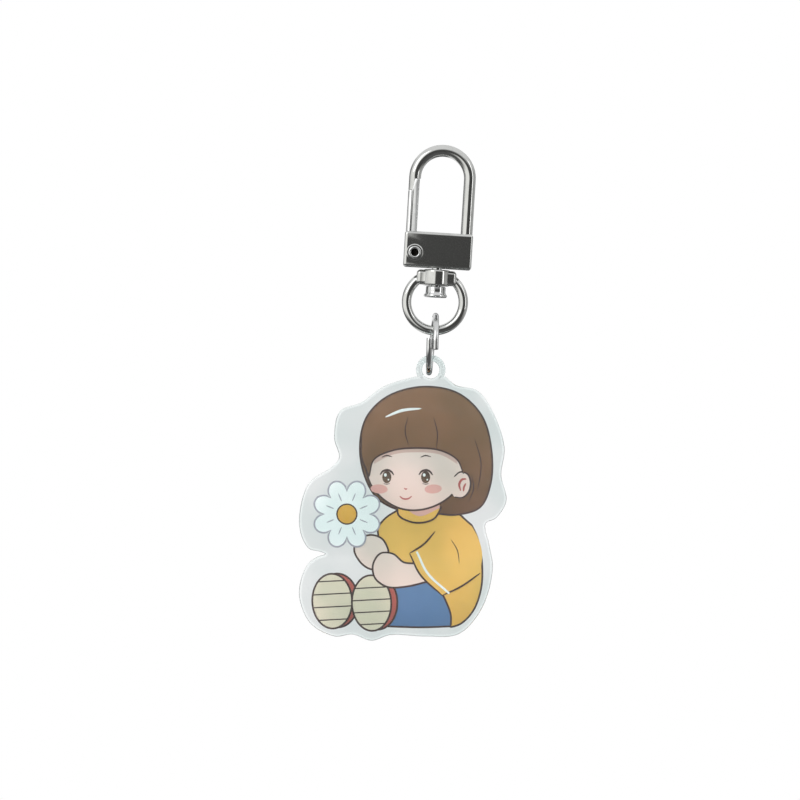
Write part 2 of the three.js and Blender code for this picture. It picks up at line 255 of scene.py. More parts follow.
def acrylicMaterial(look):
    material, tree, shader, coords = newMaterial("clearAcrylic")
    setInputs(shader, {"IOR": look["ior"]})
    # The base colour mixes a grey-green tint with a near-white one in soft noise patches. This is partly
    # the acrylic's own faint tint and partly painted shade for the shadow seen through the plate.
    cloud = mapRange(tree, noiseNode(tree, coords, look["shadePatchScale"], 2.0), 0.38, 0.62, 0.0, 1.0)
    tone = addNode(tree, "ShaderNodeMix", data_type="RGBA")
    tree.links.new(cloud, tone.inputs["Factor"])
    tone.inputs["A"].default_value = linear(look["tint"])
    tone.inputs["B"].default_value = linear(look["paleTint"])
    tree.links.new(tone.outputs["Result"], shader.inputs["Base Color"])
    edge = addNode(tree, "ShaderNodeSeparateXYZ")
    tree.links.new(tree.nodes["Texture Coordinate"].outputs["Normal"], edge.inputs[0])
    wall = mathNode(tree, "SUBTRACT", 1.0, mathNode(tree, "ABSOLUTE", edge.outputs["Y"]))
    frost = mathNode(tree, "MULTIPLY", wall, look["edgeFrost"])
    tree.links.new(mathNode(tree, "SUBTRACT", 1.0, frost), shader.inputs["Transmission Weight"])
    laser = noiseNode(tree, stretched(tree, coords, (1.0, 0.06, 1.0)), look["laserScale"], 2.0)
    handling = mapRange(
        tree, noiseNode(tree, coords, 220.0, 4.0, 0.6), 0.5, 0.8, 0.0, look["faceRoughness"],
    )
    cut = mathNode(tree, "MULTIPLY", mathNode(tree, "MULTIPLY", laser, wall), look["edgeRoughness"])
    tree.links.new(mathNode(tree, "ADD", handling, cut), shader.inputs["Roughness"])
    ripple = mathNode(tree, "MULTIPLY", laser, mathNode(tree, "ADD", wall, 0.02))
    addBump(tree, shader, ripple, 0.35, 0.03 * mm)
    through = addNode(tree, "ShaderNodeBsdfTransparent")
    through.inputs["Color"].default_value = linear(look["shadowTint"])
    path = addNode(tree, "ShaderNodeLightPath")
    mix = addNode(tree, "ShaderNodeMixShader")
    tree.links.new(path.outputs["Is Shadow Ray"], mix.inputs["Fac"])
    tree.links.new(shader.outputs["BSDF"], mix.inputs[1])
    tree.links.new(through.outputs["BSDF"], mix.inputs[2])
    tree.links.new(mix.outputs["Shader"], tree.nodes["Material Output"].inputs["Surface"])
    return material


castLook = {
    "colour": (226, 227, 225), "dullColour": (196, 197, 195), "roughness": (0.05, 0.2),
    "lineScale": 1500.0, "peelScale": 420.0, "bump": 0.5,
}
steelLook = {
    "colour": (230, 231, 231), "dullColour": (200, 202, 202), "roughness": (0.06, 0.22),
    "lineScale": 2200.0, "peelScale": 900.0, "bump": 0.35,
}
springLook = {
    "colour": (170, 172, 175), "dullColour": (128, 130, 134), "roughness": (0.2, 0.38),
    "lineScale": 3000.0, "peelScale": 1500.0, "bump": 0.4,
}
# Painted shade: the walls and floor of the pin's blind bore are coloured near-black for the shade that
# falls inside the hole.
boreShadeLook = {
    "colour": (58, 55, 52), "dullColour": (34, 32, 30), "roughness": (0.4, 0.7),
    "lineScale": 2600.0, "peelScale": 1500.0, "bump": 0.4,
}
# tint is partly the acrylic's own colour and partly painted shade seen through the plate; paleTint is the
# clear acrylic.
acrylicLook = {
    "tint": (231, 241, 240), "paleTint": (251, 254, 254), "shadePatchScale": 60.0, "ior": 1.49,
    "faceRoughness": 0.04, "edgeFrost": 0.45, "edgeRoughness": 0.22,
    "laserScale": 2600.0, "shadowTint": (240, 246, 245),
}
castChrome = platedMetal("castChrome", castLook)
platedSteel = platedMetal("platedSteel", steelLook)
springSteel = platedMetal("springSteel", springLook)
shadedBoreSteel = platedMetal("shadedBoreSteel", boreShadeLook)
clearAcrylic = acrylicMaterial(acrylicLook)
print("materials for metal and acrylic made")


# Geometry helpers.

def catmull(before, start, end, after, steps):
    # Centripetal Catmull-Rom between start and end.
    def knot(a, b):
        return max(math.dist(a, b), 1e-9) ** 0.5
    t0 = 0.0
    t1 = t0 + knot(before, start)
    t2 = t1 + knot(start, end)
    t3 = t2 + knot(end, after)

    def blend(a, b, ta, tb, t):
        return [((tb - t) * p + (t - ta) * q) / (tb - ta) for p, q in zip(a, b)]
    found = []
    for i in range(steps):
        t = t1 + (t2 - t1) * i / steps
        a1 = blend(before, start, t0, t1, t)
        a2 = blend(start, end, t1, t2, t)
        a3 = blend(end, after, t2, t3, t)
        found.append(blend(blend(a1, a2, t0, t2, t), blend(a2, a3, t1, t3, t), t1, t2, t))
    return found


def smoothRun(points, steps=8):
    # An open smooth line through points, whose ends are reflected.
    first = [2 * a - b for a, b in zip(points[0], points[1])]
    last = [2 * a - b for a, b in zip(points[-1], points[-2])]
    chain = [first, *points, last]
    found = []
    for i in range(1, len(chain) - 2):
        found += catmull(chain[i - 1], chain[i], chain[i + 1], chain[i + 2], steps)
    return found + [list(points[-1])]


def smoothRing(points, steps=8):
    count = len(points)
    found = []
    for i in range(count):
        around = [points[(i + k) % count] for k in (-1, 0, 1, 2)]
        found += catmull(*around, steps)
    return found


def cornered(*runs, steps=8):
    # A closed outline of smooth runs, with a corner where one run meets the next.
    found = []
    end = runs[0][0]
    for index, run in enumerate(runs):
        points = run if index == 0 else [end, *run]
        if index == len(runs) - 1:
            points = [*points, runs[0][0]]
        found += smoothRun(points, steps)[:-1]
        end = run[-1]
    return found


def ellipse(centre, radii, tilt=0.0, count=48):
    turn = math.radians(tilt)
    found = []
    for i in range(count):
        angle = 2 * math.pi * i / count
        x, z = radii[0] * math.cos(angle), radii[1] * math.sin(angle)
        found.append(
            [
                centre[0] + x * math.cos(turn) - z * math.sin(turn),
                centre[1] + x * math.sin(turn) + z * math.cos(turn),
            ]
        )
    return found


def addObject(name, data):
    made = bpy.data.objects.new(name, data)
    bpy.context.scene.collection.objects.link(made)
    return made


def meshObject(name, points, faces, material=None, recalculate=True):
    # Points are in millimetres; the mesh is in metres.
    mesh = bpy.data.meshes.new(name)
    mesh.from_pydata([[c * mm for c in p] for p in points], [], faces)
    work = bmesh.new()
    work.from_mesh(mesh)
    bmesh.ops.remove_doubles(work, verts=work.verts, dist=1e-7)
    if recalculate:
        bmesh.ops.recalc_face_normals(work, faces=work.faces)
    work.to_mesh(mesh)
    work.free()
    smoothShade(mesh)
    piece = addObject(name, mesh)
    if material:
        mesh.materials.append(material)
    return piece


def smoothShade(mesh, sharpAngle=35.0):
    mesh.shade_smooth()
    mesh.set_sharp_from_angle(angle=math.radians(sharpAngle))


def wallFaces(count):
    # The two ends and the sides of a solid between two equal outlines.
    faces = [list(range(count)), list(range(2 * count - 1, count - 1, -1))]
    for i in range(count):
        j = (i + 1) % count
        faces.append([i, i + count, j + count, j])
    return faces


def prismData(outline, front, back):
    # A closed solid between two depths in Y, as points and faces.
    points = [[x, y, z] for y in (front, back) for x, z in outline]
    return points, wallFaces(len(outline))


def prism(name, outline, front, back):
    return meshObject(name, *prismData(outline, front, back))


def standingPrism(name, outline, low, high, material):
    # An outline in X and Y, between two heights.
    points = [[x, y, z] for z in (low, high) for x, y in outline]
    return meshObject(name, points, wallFaces(len(outline)), material)


def turnedPiece(name, profile, centre, axis, material=None):
    # A profile of [radius, along] turned round a line through centre.
    sides = 72
    points, faces = [], []
    rows = len(profile)
    for i in range(sides):
        angle = 2 * math.pi * i / sides
        for radius, along in profile:
            a, b = radius * math.cos(angle), radius * math.sin(angle)
            offset = (a, along, b) if axis == "Y" else (a, b, along)
            points.append([c + o for c, o in zip(centre, offset)])
    for i in range(sides):
        j = (i + 1) % sides
        for k in range(rows - 1):
            faces.append([i * rows + k, j * rows + k, j * rows + k + 1, i * rows + k + 1])
    piece = meshObject(name, points, faces, material)
    work = bmesh.new()
    work.from_mesh(piece.data)
    bmesh.ops.holes_fill(work, edges=[e for e in work.edges if e.is_boundary], sides=0)
    bmesh.ops.recalc_face_normals(work, faces=work.faces)
    work.to_mesh(piece.data)
    work.free()
    smoothShade(piece.data)
    return piece


def roundedBox(name, low, high, radius=0.0, segments=4):
    mesh = bpy.data.meshes.new(name)
    work = bmesh.new()
    bmesh.ops.create_cube(work, size=1.0)
    size = [(b - a) * mm for a, b in zip(low, high)]
    middle = [(a + b) / 2 * mm for a, b in zip(low, high)]
    for vertex in work.verts:
        vertex.co = Vector([m + c * s for m, c, s in zip(middle, vertex.co, size)])
    if radius:
        bmesh.ops.bevel(
            work, geom=work.edges[:], offset=radius * mm, segments=segments, profile=0.5, affect="EDGES",
        )
    bmesh.ops.recalc_face_normals(work, faces=work.faces)
    work.to_mesh(mesh)
    work.free()
    smoothShade(mesh)
    return addObject(name, mesh)


def settle(piece):
    # The evaluated result becomes the piece's own plain mesh.
    bpy.context.view_layer.update()
    graph = bpy.context.evaluated_depsgraph_get()
    mesh = bpy.data.meshes.new_from_object(piece.evaluated_get(graph))
    piece.modifiers.clear()
    old = piece.data
    if piece.type == "MESH":
        piece.data = mesh
        bpy.data.meshes.remove(old)
        return piece
    name = piece.name
    bpy.data.objects.remove(piece)
    fresh = addObject(name, mesh)
    return fresh


def carve(piece, steps, edgeRadius=0.0):
    # Joins and cuts, then a fine round on the edges that they leave.
    for operation, other in steps:
        modifier = piece.modifiers.new(operation.lower(), "BOOLEAN")
        modifier.operation = operation
        modifier.solver = "EXACT"
        modifier.object = other
        settle(piece)
        bpy.data.objects.remove(other)
    if edgeRadius:
        bevel = piece.modifiers.new("edges", "BEVEL")
        bevel.width = edgeRadius * mm
        bevel.segments = 2
        bevel.limit_method = "ANGLE"
        bevel.angle_limit = math.radians(40)
        bevel.use_clamp_overlap = True
        settle(piece)
    smoothShade(piece.data, 40.0)
    return piece


def together(parts):
    # The points and faces of several solids as one list of each.
    points, faces = [], []
    for partPoints, partFaces in parts:
        start = len(points)
        points += partPoints
        faces += [[start + i for i in face] for face in partFaces]
    return points, faces


def joined(name, pieces, material):
    # Several meshes as one piece.
    parts = []
    for piece in pieces:
        parts.append(
            ([v.co / mm for v in piece.data.vertices], [list(f.vertices) for f in piece.data.polygons])
        )
    points, faces = together(parts)
    for piece in pieces:
        bpy.data.objects.remove(piece)
    return meshObject(name, points, faces, material, recalculate=False)


# Geometry nodes.

def geometryTree(name, sockets):
    tree = bpy.data.node_groups.new(name, "GeometryNodeTree")
    tree.is_modifier = True
    newSocket(tree, "Geometry", "INPUT", "NodeSocketGeometry")
    for label, kind, value in sockets:
        newSocket(tree, label, "INPUT", kind, value)
    newSocket(tree, "Geometry", "OUTPUT", "NodeSocketGeometry")
    return tree, addNode(tree, "NodeGroupInput"), addNode(tree, "NodeGroupOutput")


def endTree(tree, geometry, materialSocket, out):
    real = addNode(tree, "GeometryNodeRealizeInstances")
    paint = addNode(tree, "GeometryNodeSetMaterial")
    tree.links.new(geometry, real.inputs[0])
    tree.links.new(real.outputs[0], paint.inputs["Geometry"])
    tree.links.new(materialSocket, paint.inputs["Material"])
    tree.links.new(paint.outputs["Geometry"], out.inputs[0])


def runTree(piece, tree, values):
    # Sets each input by its socket's identifier, then keeps the plain result.
    modifier = piece.modifiers.new(tree.name, "NODES")
    modifier.node_group = tree
    identifiers = {
        s.name: s.identifier
        for s in tree.interface.items_tree if s.item_type == "SOCKET" and s.in_out == "INPUT"
    }
    for label, value in values.items():
        modifier[identifiers[label]] = value
    return settle(piece)


def buildWireTree():
    # A round wire with flat ends along a curve.
    sockets = [
        ("Radius", "NodeSocketFloat", 0.001), ("Sides", "NodeSocketInt", 32),
        ("Material", "NodeSocketMaterial", None),
    ]
    tree, inside, out = geometryTree("wireAlongPath", sockets)
    section = addNode(tree, "GeometryNodeCurvePrimitiveCircle")
    tree.links.new(inside.outputs["Sides"], section.inputs["Resolution"])
    tree.links.new(inside.outputs["Radius"], section.inputs["Radius"])
    sweep = addNode(tree, "GeometryNodeCurveToMesh")
    sweep.inputs["Fill Caps"].default_value = True
    tree.links.new(inside.outputs["Geometry"], sweep.inputs["Curve"])
    tree.links.new(section.outputs["Curve"], sweep.inputs["Profile Curve"])
    endTree(tree, sweep.outputs["Mesh"], inside.outputs["Material"], out)
    return tree


def buildBurstTree():
    # Bars set round a circle that faces the viewer, each of its own random length.
    sockets = [
        ("Count", "NodeSocketInt", 16), (
            "Inner Radius", "NodeSocketFloat", 0.001,
        ), ("Length", "NodeSocketFloat", 0.003),
        ("Length Spread", "NodeSocketFloat", 0.3), ("Width", "NodeSocketFloat", 0.0003), (
            "Thickness", "NodeSocketFloat", 0.000004,
        ),
        (
            "Centre", "NodeSocketVector", (0, 0, 0),
        ), ("Turn", "NodeSocketFloat", 0.0), ("Seed", "NodeSocketInt", 1),
        ("Material", "NodeSocketMaterial", None),
    ]
    tree, inside, out = geometryTree("rayBurst", sockets)
    ring = addNode(tree, "GeometryNodeMeshCircle")
    tree.links.new(inside.outputs["Count"], ring.inputs["Vertices"])
    tree.links.new(inside.outputs["Inner Radius"], ring.inputs["Radius"])
    bar = addNode(tree, "GeometryNodeMeshCylinder")
    setInputs(bar, {"Vertices": 10, "Radius": 0.5, "Depth": 1.0})
    shift = addNode(tree, "GeometryNodeTransform")
    setInputs(shift, {"Translation": (0.5, 0.0, 0.0), "Rotation": (0.0, 0.0, math.pi)})
    tree.links.new(bar.outputs["Mesh"], shift.inputs["Geometry"])
    position = addNode(tree, "GeometryNodeInputPosition")
    align = addNode(tree, "FunctionNodeAlignEulerToVector", axis="X")
    tree.links.new(position.outputs[0], align.inputs["Vector"])
    spread = addNode(tree, "FunctionNodeRandomValue", data_type="FLOAT")
    low = mathNode(tree, "SUBTRACT", 1.0, inside.outputs["Length Spread"])
    tree.links.new(low, spread.inputs[2])
    spread.inputs[3].default_value = 1.0
    tree.links.new(inside.outputs["Seed"], spread.inputs["Seed"])
    size = addNode(tree, "ShaderNodeCombineXYZ")
    tree.links.new(mathNode(tree, "MULTIPLY", inside.outputs["Length"], spread.outputs[1]), size.inputs[0])
    tree.links.new(inside.outputs["Width"], size.inputs[1])
    tree.links.new(inside.outputs["Thickness"], size.inputs[2])
    copies = addNode(tree, "GeometryNodeInstanceOnPoints")
    tree.links.new(ring.outputs["Mesh"], copies.inputs["Points"])
    tree.links.new(shift.outputs["Geometry"], copies.inputs["Instance"])
    tree.links.new(align.outputs["Rotation"], copies.inputs["Rotation"])
    tree.links.new(size.outputs[0], copies.inputs["Scale"])
    turn = addNode(tree, "ShaderNodeCombineXYZ")
    turn.inputs[0].default_value = math.pi / 2
    tree.links.new(inside.outputs["Turn"], turn.inputs[1])
    stand = addNode(tree, "GeometryNodeTransform")
    tree.links.new(copies.outputs["Instances"], stand.inputs["Geometry"])
    tree.links.new(turn.outputs[0], stand.inputs["Rotation"])
    tree.links.new(inside.outputs["Centre"], stand.inputs["Translation"])
    endTree(tree, stand.outputs["Geometry"], inside.outputs["Material"], out)
    return tree


def buildTreadTree():
    # Level bars up an oval, each as wide as the oval is there.
    sockets = [
        ("Count", "NodeSocketInt", 4), ("Half Width", "NodeSocketFloat", 0.004), (
            "Half Height", "NodeSocketFloat", 0.006,
        ),
        ("Spacing", "NodeSocketFloat", 0.0026), ("Lift", "NodeSocketFloat", 0.0),
        ("Line Width", "NodeSocketFloat", 0.0003), ("Thickness", "NodeSocketFloat", 0.000004),
        (
            "Centre", "NodeSocketVector", (0, 0, 0),
        ), ("Tilt", "NodeSocketFloat", 0.0), ("Material", "NodeSocketMaterial", None),
    ]
    tree, inside, out = geometryTree("soleTreads", sockets)
    height = inside.outputs["Half Height"]
    gap = inside.outputs["Spacing"]
    reach = mathNode(tree, "MULTIPLY", gap, mathNode(tree, "SUBTRACT", inside.outputs["Count"], 1.0))
    firstZ = mathNode(tree, "SUBTRACT", inside.outputs["Lift"], mathNode(tree, "MULTIPLY", reach, 0.5))
    start = addNode(tree, "ShaderNodeCombineXYZ")
    tree.links.new(firstZ, start.inputs[2])
    step = addNode(tree, "ShaderNodeCombineXYZ")
    tree.links.new(gap, step.inputs[2])
    row = addNode(tree, "GeometryNodeMeshLine")
    tree.links.new(inside.outputs["Count"], row.inputs["Count"])
    tree.links.new(start.outputs[0], row.inputs["Start Location"])
    tree.links.new(step.outputs[0], row.inputs["Offset"])
    position = addNode(tree, "ShaderNodeSeparateXYZ")
    tree.links.new(addNode(tree, "GeometryNodeInputPosition").outputs[0], position.inputs[0])
    share = mathNode(tree, "DIVIDE", position.outputs["Z"], height)
    chord = mathNode(
        tree, "SQRT", mathNode(tree, "SUBTRACT", 1.0, mathNode(tree, "MULTIPLY", share, share)),
    )
    wide = mathNode(tree, "MULTIPLY", mathNode(tree, "MULTIPLY", inside.outputs["Half Width"], 1.98), chord)
    size = addNode(tree, "ShaderNodeCombineXYZ")
    tree.links.new(wide, size.inputs[0])
    tree.links.new(inside.outputs["Thickness"], size.inputs[1])
    tree.links.new(inside.outputs["Line Width"], size.inputs[2])
    bar = addNode(tree, "GeometryNodeMeshCube")
    setInputs(bar, {"Size": (1.0, 1.0, 1.0)})
    copies = addNode(tree, "GeometryNodeInstanceOnPoints")
    tree.links.new(row.outputs["Mesh"], copies.inputs["Points"])
    tree.links.new(bar.outputs["Mesh"], copies.inputs["Instance"])
    tree.links.new(size.outputs[0], copies.inputs["Scale"])
    turn = addNode(tree, "ShaderNodeCombineXYZ")
    tree.links.new(inside.outputs["Tilt"], turn.inputs[1])
    lean = addNode(tree, "GeometryNodeTransform")
    tree.links.new(copies.outputs["Instances"], lean.inputs["Geometry"])
    tree.links.new(turn.outputs[0], lean.inputs["Rotation"])
    tree.links.new(inside.outputs["Centre"], lean.inputs["Translation"])
    endTree(tree, lean.outputs["Geometry"], inside.outputs["Material"], out)
    return tree


wireTree = buildWireTree()
burstTree = buildBurstTree()
treadTree = buildTreadTree()


def wirePiece(name, points, radius, material, cyclic=False, sides=40):
    curve = bpy.data.curves.new(name, "CURVE")
    curve.dimensions = "3D"
    spline = curve.splines.new("POLY")
    spline.points.add(len(points) - 1)
    for target, point in zip(spline.points, points):
        target.co = (*[c * mm for c in point], 1.0)
    spline.use_cyclic_u = cyclic
    piece = addObject(name, curve)
    piece = runTree(piece, wireTree, {"Radius": radius * mm, "Sides": sides, "Material": material})
    smoothShade(piece.data, 40.0)
    return piece


def emptyMesh(name):
    piece = addObject(name, bpy.data.meshes.new(name))
    return piece


def place(piece, body, slotName, *nodes):
    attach(piece, body)
    if nodes:
        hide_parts(*nodes)
    return piece


# The snap hook.

hook = {
    "barDiameter": 2.5, "loopWidth": 9.1, "loopLength": 16.15, "noseLength": 7.4, "noseLap": 2.5,
    "noseTipThickness": 0.85, "noseTaper": 0.45,
}
block = {
    "height": 7.5, "depth": 5.6, "edge": 0.6, "cutEdge": 0.06, "ledge": 0.15, "bossRadius": 1.8,
    "bossHeight": 0.25,
}
gate = {
    "width": 2.3, "depth": 2.6, "sheet": 0.5, "step": 0.15, "hubRadius": 1.65, "opening": 28.0,
    "tongue": 0.7, "gap": 0.2, "noseGap": 0.17, "foldRadius": 0.75, "stripLean": 0.06, "stripEdge": 0.25,
    "cutEdge": 0.07,
}
pin = {
    "inset": 2.3, "below": 4.5, "radius": 0.9, "bore": 0.75, "boreDepth": 2.4, "headRadius": 1.35,
    "headThickness": 0.3,
    "gap": 0.1,
}

barRadius = hook["barDiameter"] / 2
archRadius = hook["loopWidth"] / 2 + barRadius
archCentreZ = -hook["loopWidth"] / 2
blockHalf = hook["loopWidth"] / 2 + hook["barDiameter"] + block["ledge"]
blockTop = -hook["loopLength"]
blockBottom = blockTop - block["height"]
barOuterX = -archRadius - barRadius
gateInnerX = barOuterX + gate["width"]
pinX, pinZ = pin["inset"] - blockHalf, blockTop - pin["below"]
noseFlatX = barOuterX + hook["noseTipThickness"]


def crossRod(name, radius, halfLength, x, z):
    profile = [[0.0, -halfLength], [radius, -halfLength], [radius, halfLength], [0.0, halfLength]]
    return turnedPiece(name, profile, (x, 0, z), "Y")


def uprightRod(name, radius, low, high):
    profile = [[0.0, low], [radius, low], [radius, high], [0.0, high]]
    return turnedPiece(name, profile, (0, 0, 0), "Z")


def makeClaspBody():
    path = [[archRadius, 0, blockTop - barRadius + 0.6 * i] for i in range(3)]
    path += [[archRadius, 0, z] for z in (-12.0, -8.0)]
    steps = 64
    for i in range(steps + 1):
        angle = math.pi * i / steps
        path.append([archRadius * math.cos(angle), 0, archCentreZ + archRadius * math.sin(angle)])
    path.append([-archRadius, 0, -hook["noseLength"]])
    bar = wirePiece("claspBody", path, barRadius, castChrome, sides=56)
    top = hook["noseLap"] - hook["noseLength"]
    inner = -hook["loopWidth"] / 2 + barRadius
    below = blockTop
    lapShape = [[noseFlatX + hook["noseTaper"], top], [inner, top], [inner, below], [noseFlatX, below]]
    lap = prism(
        "lap", [*lapShape, [noseFlatX, -hook["noseLength"]]], -hook["barDiameter"], hook["barDiameter"],
    )
    carve(bar, [("DIFFERENCE", lap)])
    halfDepth = block["depth"] / 2
    low, high = (-blockHalf, -halfDepth, blockBottom), (blockHalf, halfDepth, blockTop)
    body = roundedBox("block", low, high, block["edge"], 5)
    reach = math.radians(gate["opening"])
    swing = math.sin(reach) * pin["below"] + math.cos(reach) * (gateInnerX - pinX)
    slotHalf = gate["depth"] / 2 + gate["gap"]
    slotInner = pinX + swing + 2 * gate["gap"]
    slotFloor = pinZ - gate["hubRadius"] - 2 * gate["gap"]
    slot = roundedBox("slot", (-2 * blockHalf, -slotHalf, slotFloor), (slotInner, slotHalf, blockTop + 2))
    bossProfile = [
        [0.0, -halfDepth - block["bossHeight"]], [
            block["bossRadius"] - 0.2, -halfDepth - block["bossHeight"],
        ],
        [block["bossRadius"], -halfDepth - 0.1], [block["bossRadius"], halfDepth + 0.1],
        [
            block["bossRadius"] - 0.2, halfDepth + block["bossHeight"],
        ], [0.0, halfDepth + block["bossHeight"]],
    ]
    boss = turnedPiece("boss", bossProfile, (pinX, 0, pinZ), "Y")
    bore = crossRod("bore", pin["radius"] + pin["gap"], 6, pinX, pinZ)
    seat = uprightRod(
        "seat", swivel["neckRadius"] + pin["gap"], blockBottom - 2, blockBottom + swivel["seat"],
    )
    carve(
        body, [("UNION", boss), ("DIFFERENCE", slot), ("DIFFERENCE", bore), ("DIFFERENCE", seat)],
        block["cutEdge"],
    )
    piece = joined("claspBody", [bar, body], castChrome)
    return place(piece, "clasp", "cast_chrome", "clasp_body")


def makeGate():
    half = gate["depth"] / 2
    shoulder = -hook["noseLength"] - gate["noseGap"]
    tongueTop = hook["noseLap"] - hook["noseLength"] - gate["noseGap"]
    fold, middle = gate["foldRadius"], (barOuterX + gateInnerX) / 2
    front = []
    for i in range(9):
        angle = math.radians(180 + 90 * i / 8)
        front.append([barOuterX + fold + fold * math.cos(angle), fold - half + fold * math.sin(angle)])
    inset = gate["step"] - half
    front += [
        [middle - gate["stripLean"], -half], [middle, inset + gate["stripLean"]],
        [gateInnerX - gate["stripEdge"], inset], [gateInnerX, inset + gate["stripEdge"]],
    ]
    lever = standingPrism(
        "gateLever", front + [[x, -y] for x, y in reversed(front)], pinZ, tongueTop, platedSteel,
    )
    slope = prism("slope", [
        [gateInnerX - gate["tongue"], tongueTop + 1], [gateInnerX - gate["tongue"], tongueTop],
        [noseFlatX + gate["noseGap"], shoulder], [barOuterX - 1, shoulder], [barOuterX - 1, tongueTop + 1],
    ], -gate["depth"], gate["depth"])
    hub = crossRod("hub", gate["hubRadius"], half, pinX, pinZ)
    reach = gateInnerX + gate["hubRadius"] + gate["width"]
    inside = half - gate["sheet"]
    low = pinZ - 2 * gate["hubRadius"]
    channel = roundedBox(
        "channel", (barOuterX + gate["sheet"], -inside, low), (reach, inside, shoulder - gate["width"] / 2),
    )
    steps = [("DIFFERENCE", slope), ("UNION", hub), ("DIFFERENCE", channel)]
    foot = roundedBox(
        "foot", (barOuterX - 1, -half - 1, low),
        (pinX - gate["hubRadius"], half + 1, pinZ + gate["hubRadius"]),
    )
    bore = crossRod("gateBore", pin["radius"] + pin["gap"], 6, pinX, pinZ)
    steps += [("DIFFERENCE", foot), ("DIFFERENCE", bore)]
    carve(lever, steps, gate["cutEdge"])
    return place(lever, "gate_lever", "plated_steel", "gate")


def makePin():
    seat = block["depth"] / 2 + block["bossHeight"] + 0.05
    end = seat + pin["headThickness"]
    floor = pin["boreDepth"] - end
    across = (pin["headRadius"] - pin["bore"]) / 2
    middle = (pin["headRadius"] + pin["bore"]) / 2
    profile = [[0.0, floor], [pin["bore"] - 0.1, floor], [pin["bore"], floor + 0.1]]
    for i in range(11):
        angle = math.pi * (1 - i / 10)
        profile.append([middle + across * math.cos(angle), -seat - pin["headThickness"] * math.sin(angle)])
    profile += [[pin["radius"], -seat], [pin["radius"], seat], [pin["headRadius"], seat]]
    for i in range(1, 8):
        angle = math.pi / 2 * i / 7
        profile.append([pin["headRadius"] * math.cos(angle), seat + pin["headThickness"] * math.sin(angle)])
    profile[-1][0] = 0.0
    piece = turnedPiece("gatePin", profile, (pinX, 0, pinZ), "Y", platedSteel)
    # Faces inside the front bore take the near-black material: painted shade inside the hole.
    piece.data.materials.append(shadedBoreSteel)
    for face in piece.data.polygons:
        x, y, z = face.center / mm
        if math.hypot(x - pinX, z - pinZ) < pin["bore"] - 0.001 and y < 0:
            face.material_index = 1
    print("pin reaches", round(end, 2), "mm each way")
    return place(piece, "clasp", "plated_steel", "gate_pin")


spring = {"wire": 0.3, "turns": 2.5, "pitch": 0.38, "legUp": 3.6, "legDown": 2.2, "gap": 0.15}


def makeSpring():
    radius = pin["radius"] + spring["gap"] + spring["wire"]
    perTurn = 28
    steps = int(spring["turns"] * perTurn)
    shift = spring["turns"] * spring["pitch"] / 2
    path = [[pinX - radius, -shift, pinZ + spring["legUp"] * k] for k in (1.0, 0.75, 0.5, 0.25)]
    for i in range(steps + 1):
        angle = math.pi + 2 * math.pi * i / perTurn
        path.append(
            [
                pinX + radius * math.cos(angle), i * spring["pitch"] / perTurn - shift,
                pinZ + radius * math.sin(angle),
            ]
        )
    path += [[pinX + radius, shift, pinZ + spring["legDown"] * k] for k in (0.35, 0.7, 1.0)]
    piece = wirePiece("gateSpring", path, spring["wire"] / 2, springSteel, sides=16)
    return place(piece, "gate_lever", "spring_steel", "gate_spring")


# The swivel and the rings.

swivel = {
    "neckRadius": 1.05, "neckGap": 0.3, "seat": 2.3, "headRadius": 2.1, "rimRadius": 2.45,
    "headHeight": 2.3,
    "collarHeight": 3.4, "collarRadius": 2.9, "collarWidth": 8.4, "collarDepth": 3.4, "ringDiameter": 14.0,
    "ringWire": 2.0, "ringTrim": 0.15, "gap": 0.15,
    "shoulderTrim": 0.15, "shoulderEdge": 0.8, "barrelEdge": 0.45, "cutEdge": 0.08,
}
jump = {"diameter": 13.3, "wire": 1.2, "lap": 22.0, "endGap": 0.15, "slack": 1.55, "endEdge": 0.08}
collarTop = blockBottom - swivel["neckGap"]
collarBottom = collarTop - swivel["collarHeight"]
ringRadius = (swivel["ringDiameter"] - swivel["ringWire"]) / 2
ringCentreZ = collarTop + swivel["ringTrim"] - swivel["ringDiameter"] / 2
ringSeatZ = ringCentreZ - ringRadius + swivel["ringWire"] / 2
jumpCentreZ = ringSeatZ + jump["slack"] - jump["diameter"] / 2 + jump["wire"]


def makeSwivelRivet():
    top = blockBottom + swivel["seat"] - swivel["gap"]
    headTop = collarBottom - swivel["gap"]
    low = headTop - swivel["headHeight"]
    rim, neck, drum = swivel["rimRadius"], swivel["neckRadius"], swivel["headRadius"]
    profile = [
        [0.0, low + 0.12], [rim - 0.6, low + 0.05], [rim - 0.3, low], [rim - 0.12, low + 0.08],
        [rim, low + 0.25],
        [rim, low + 0.42], [rim - 0.1, low + 0.6], [drum + 0.05, low + 0.85], [drum, low + 1.3],
        [drum, headTop - 0.2],
        [drum - 0.06, headTop - 0.06], [drum - 0.2, headTop], [neck, headTop], [neck, top], [0.0, top],
    ]
    piece = turnedPiece("swivelRivet", profile, (0, 0, 0), "Z", platedSteel)
    return place(piece, "clasp", "plated_steel", "swivel_rivet")


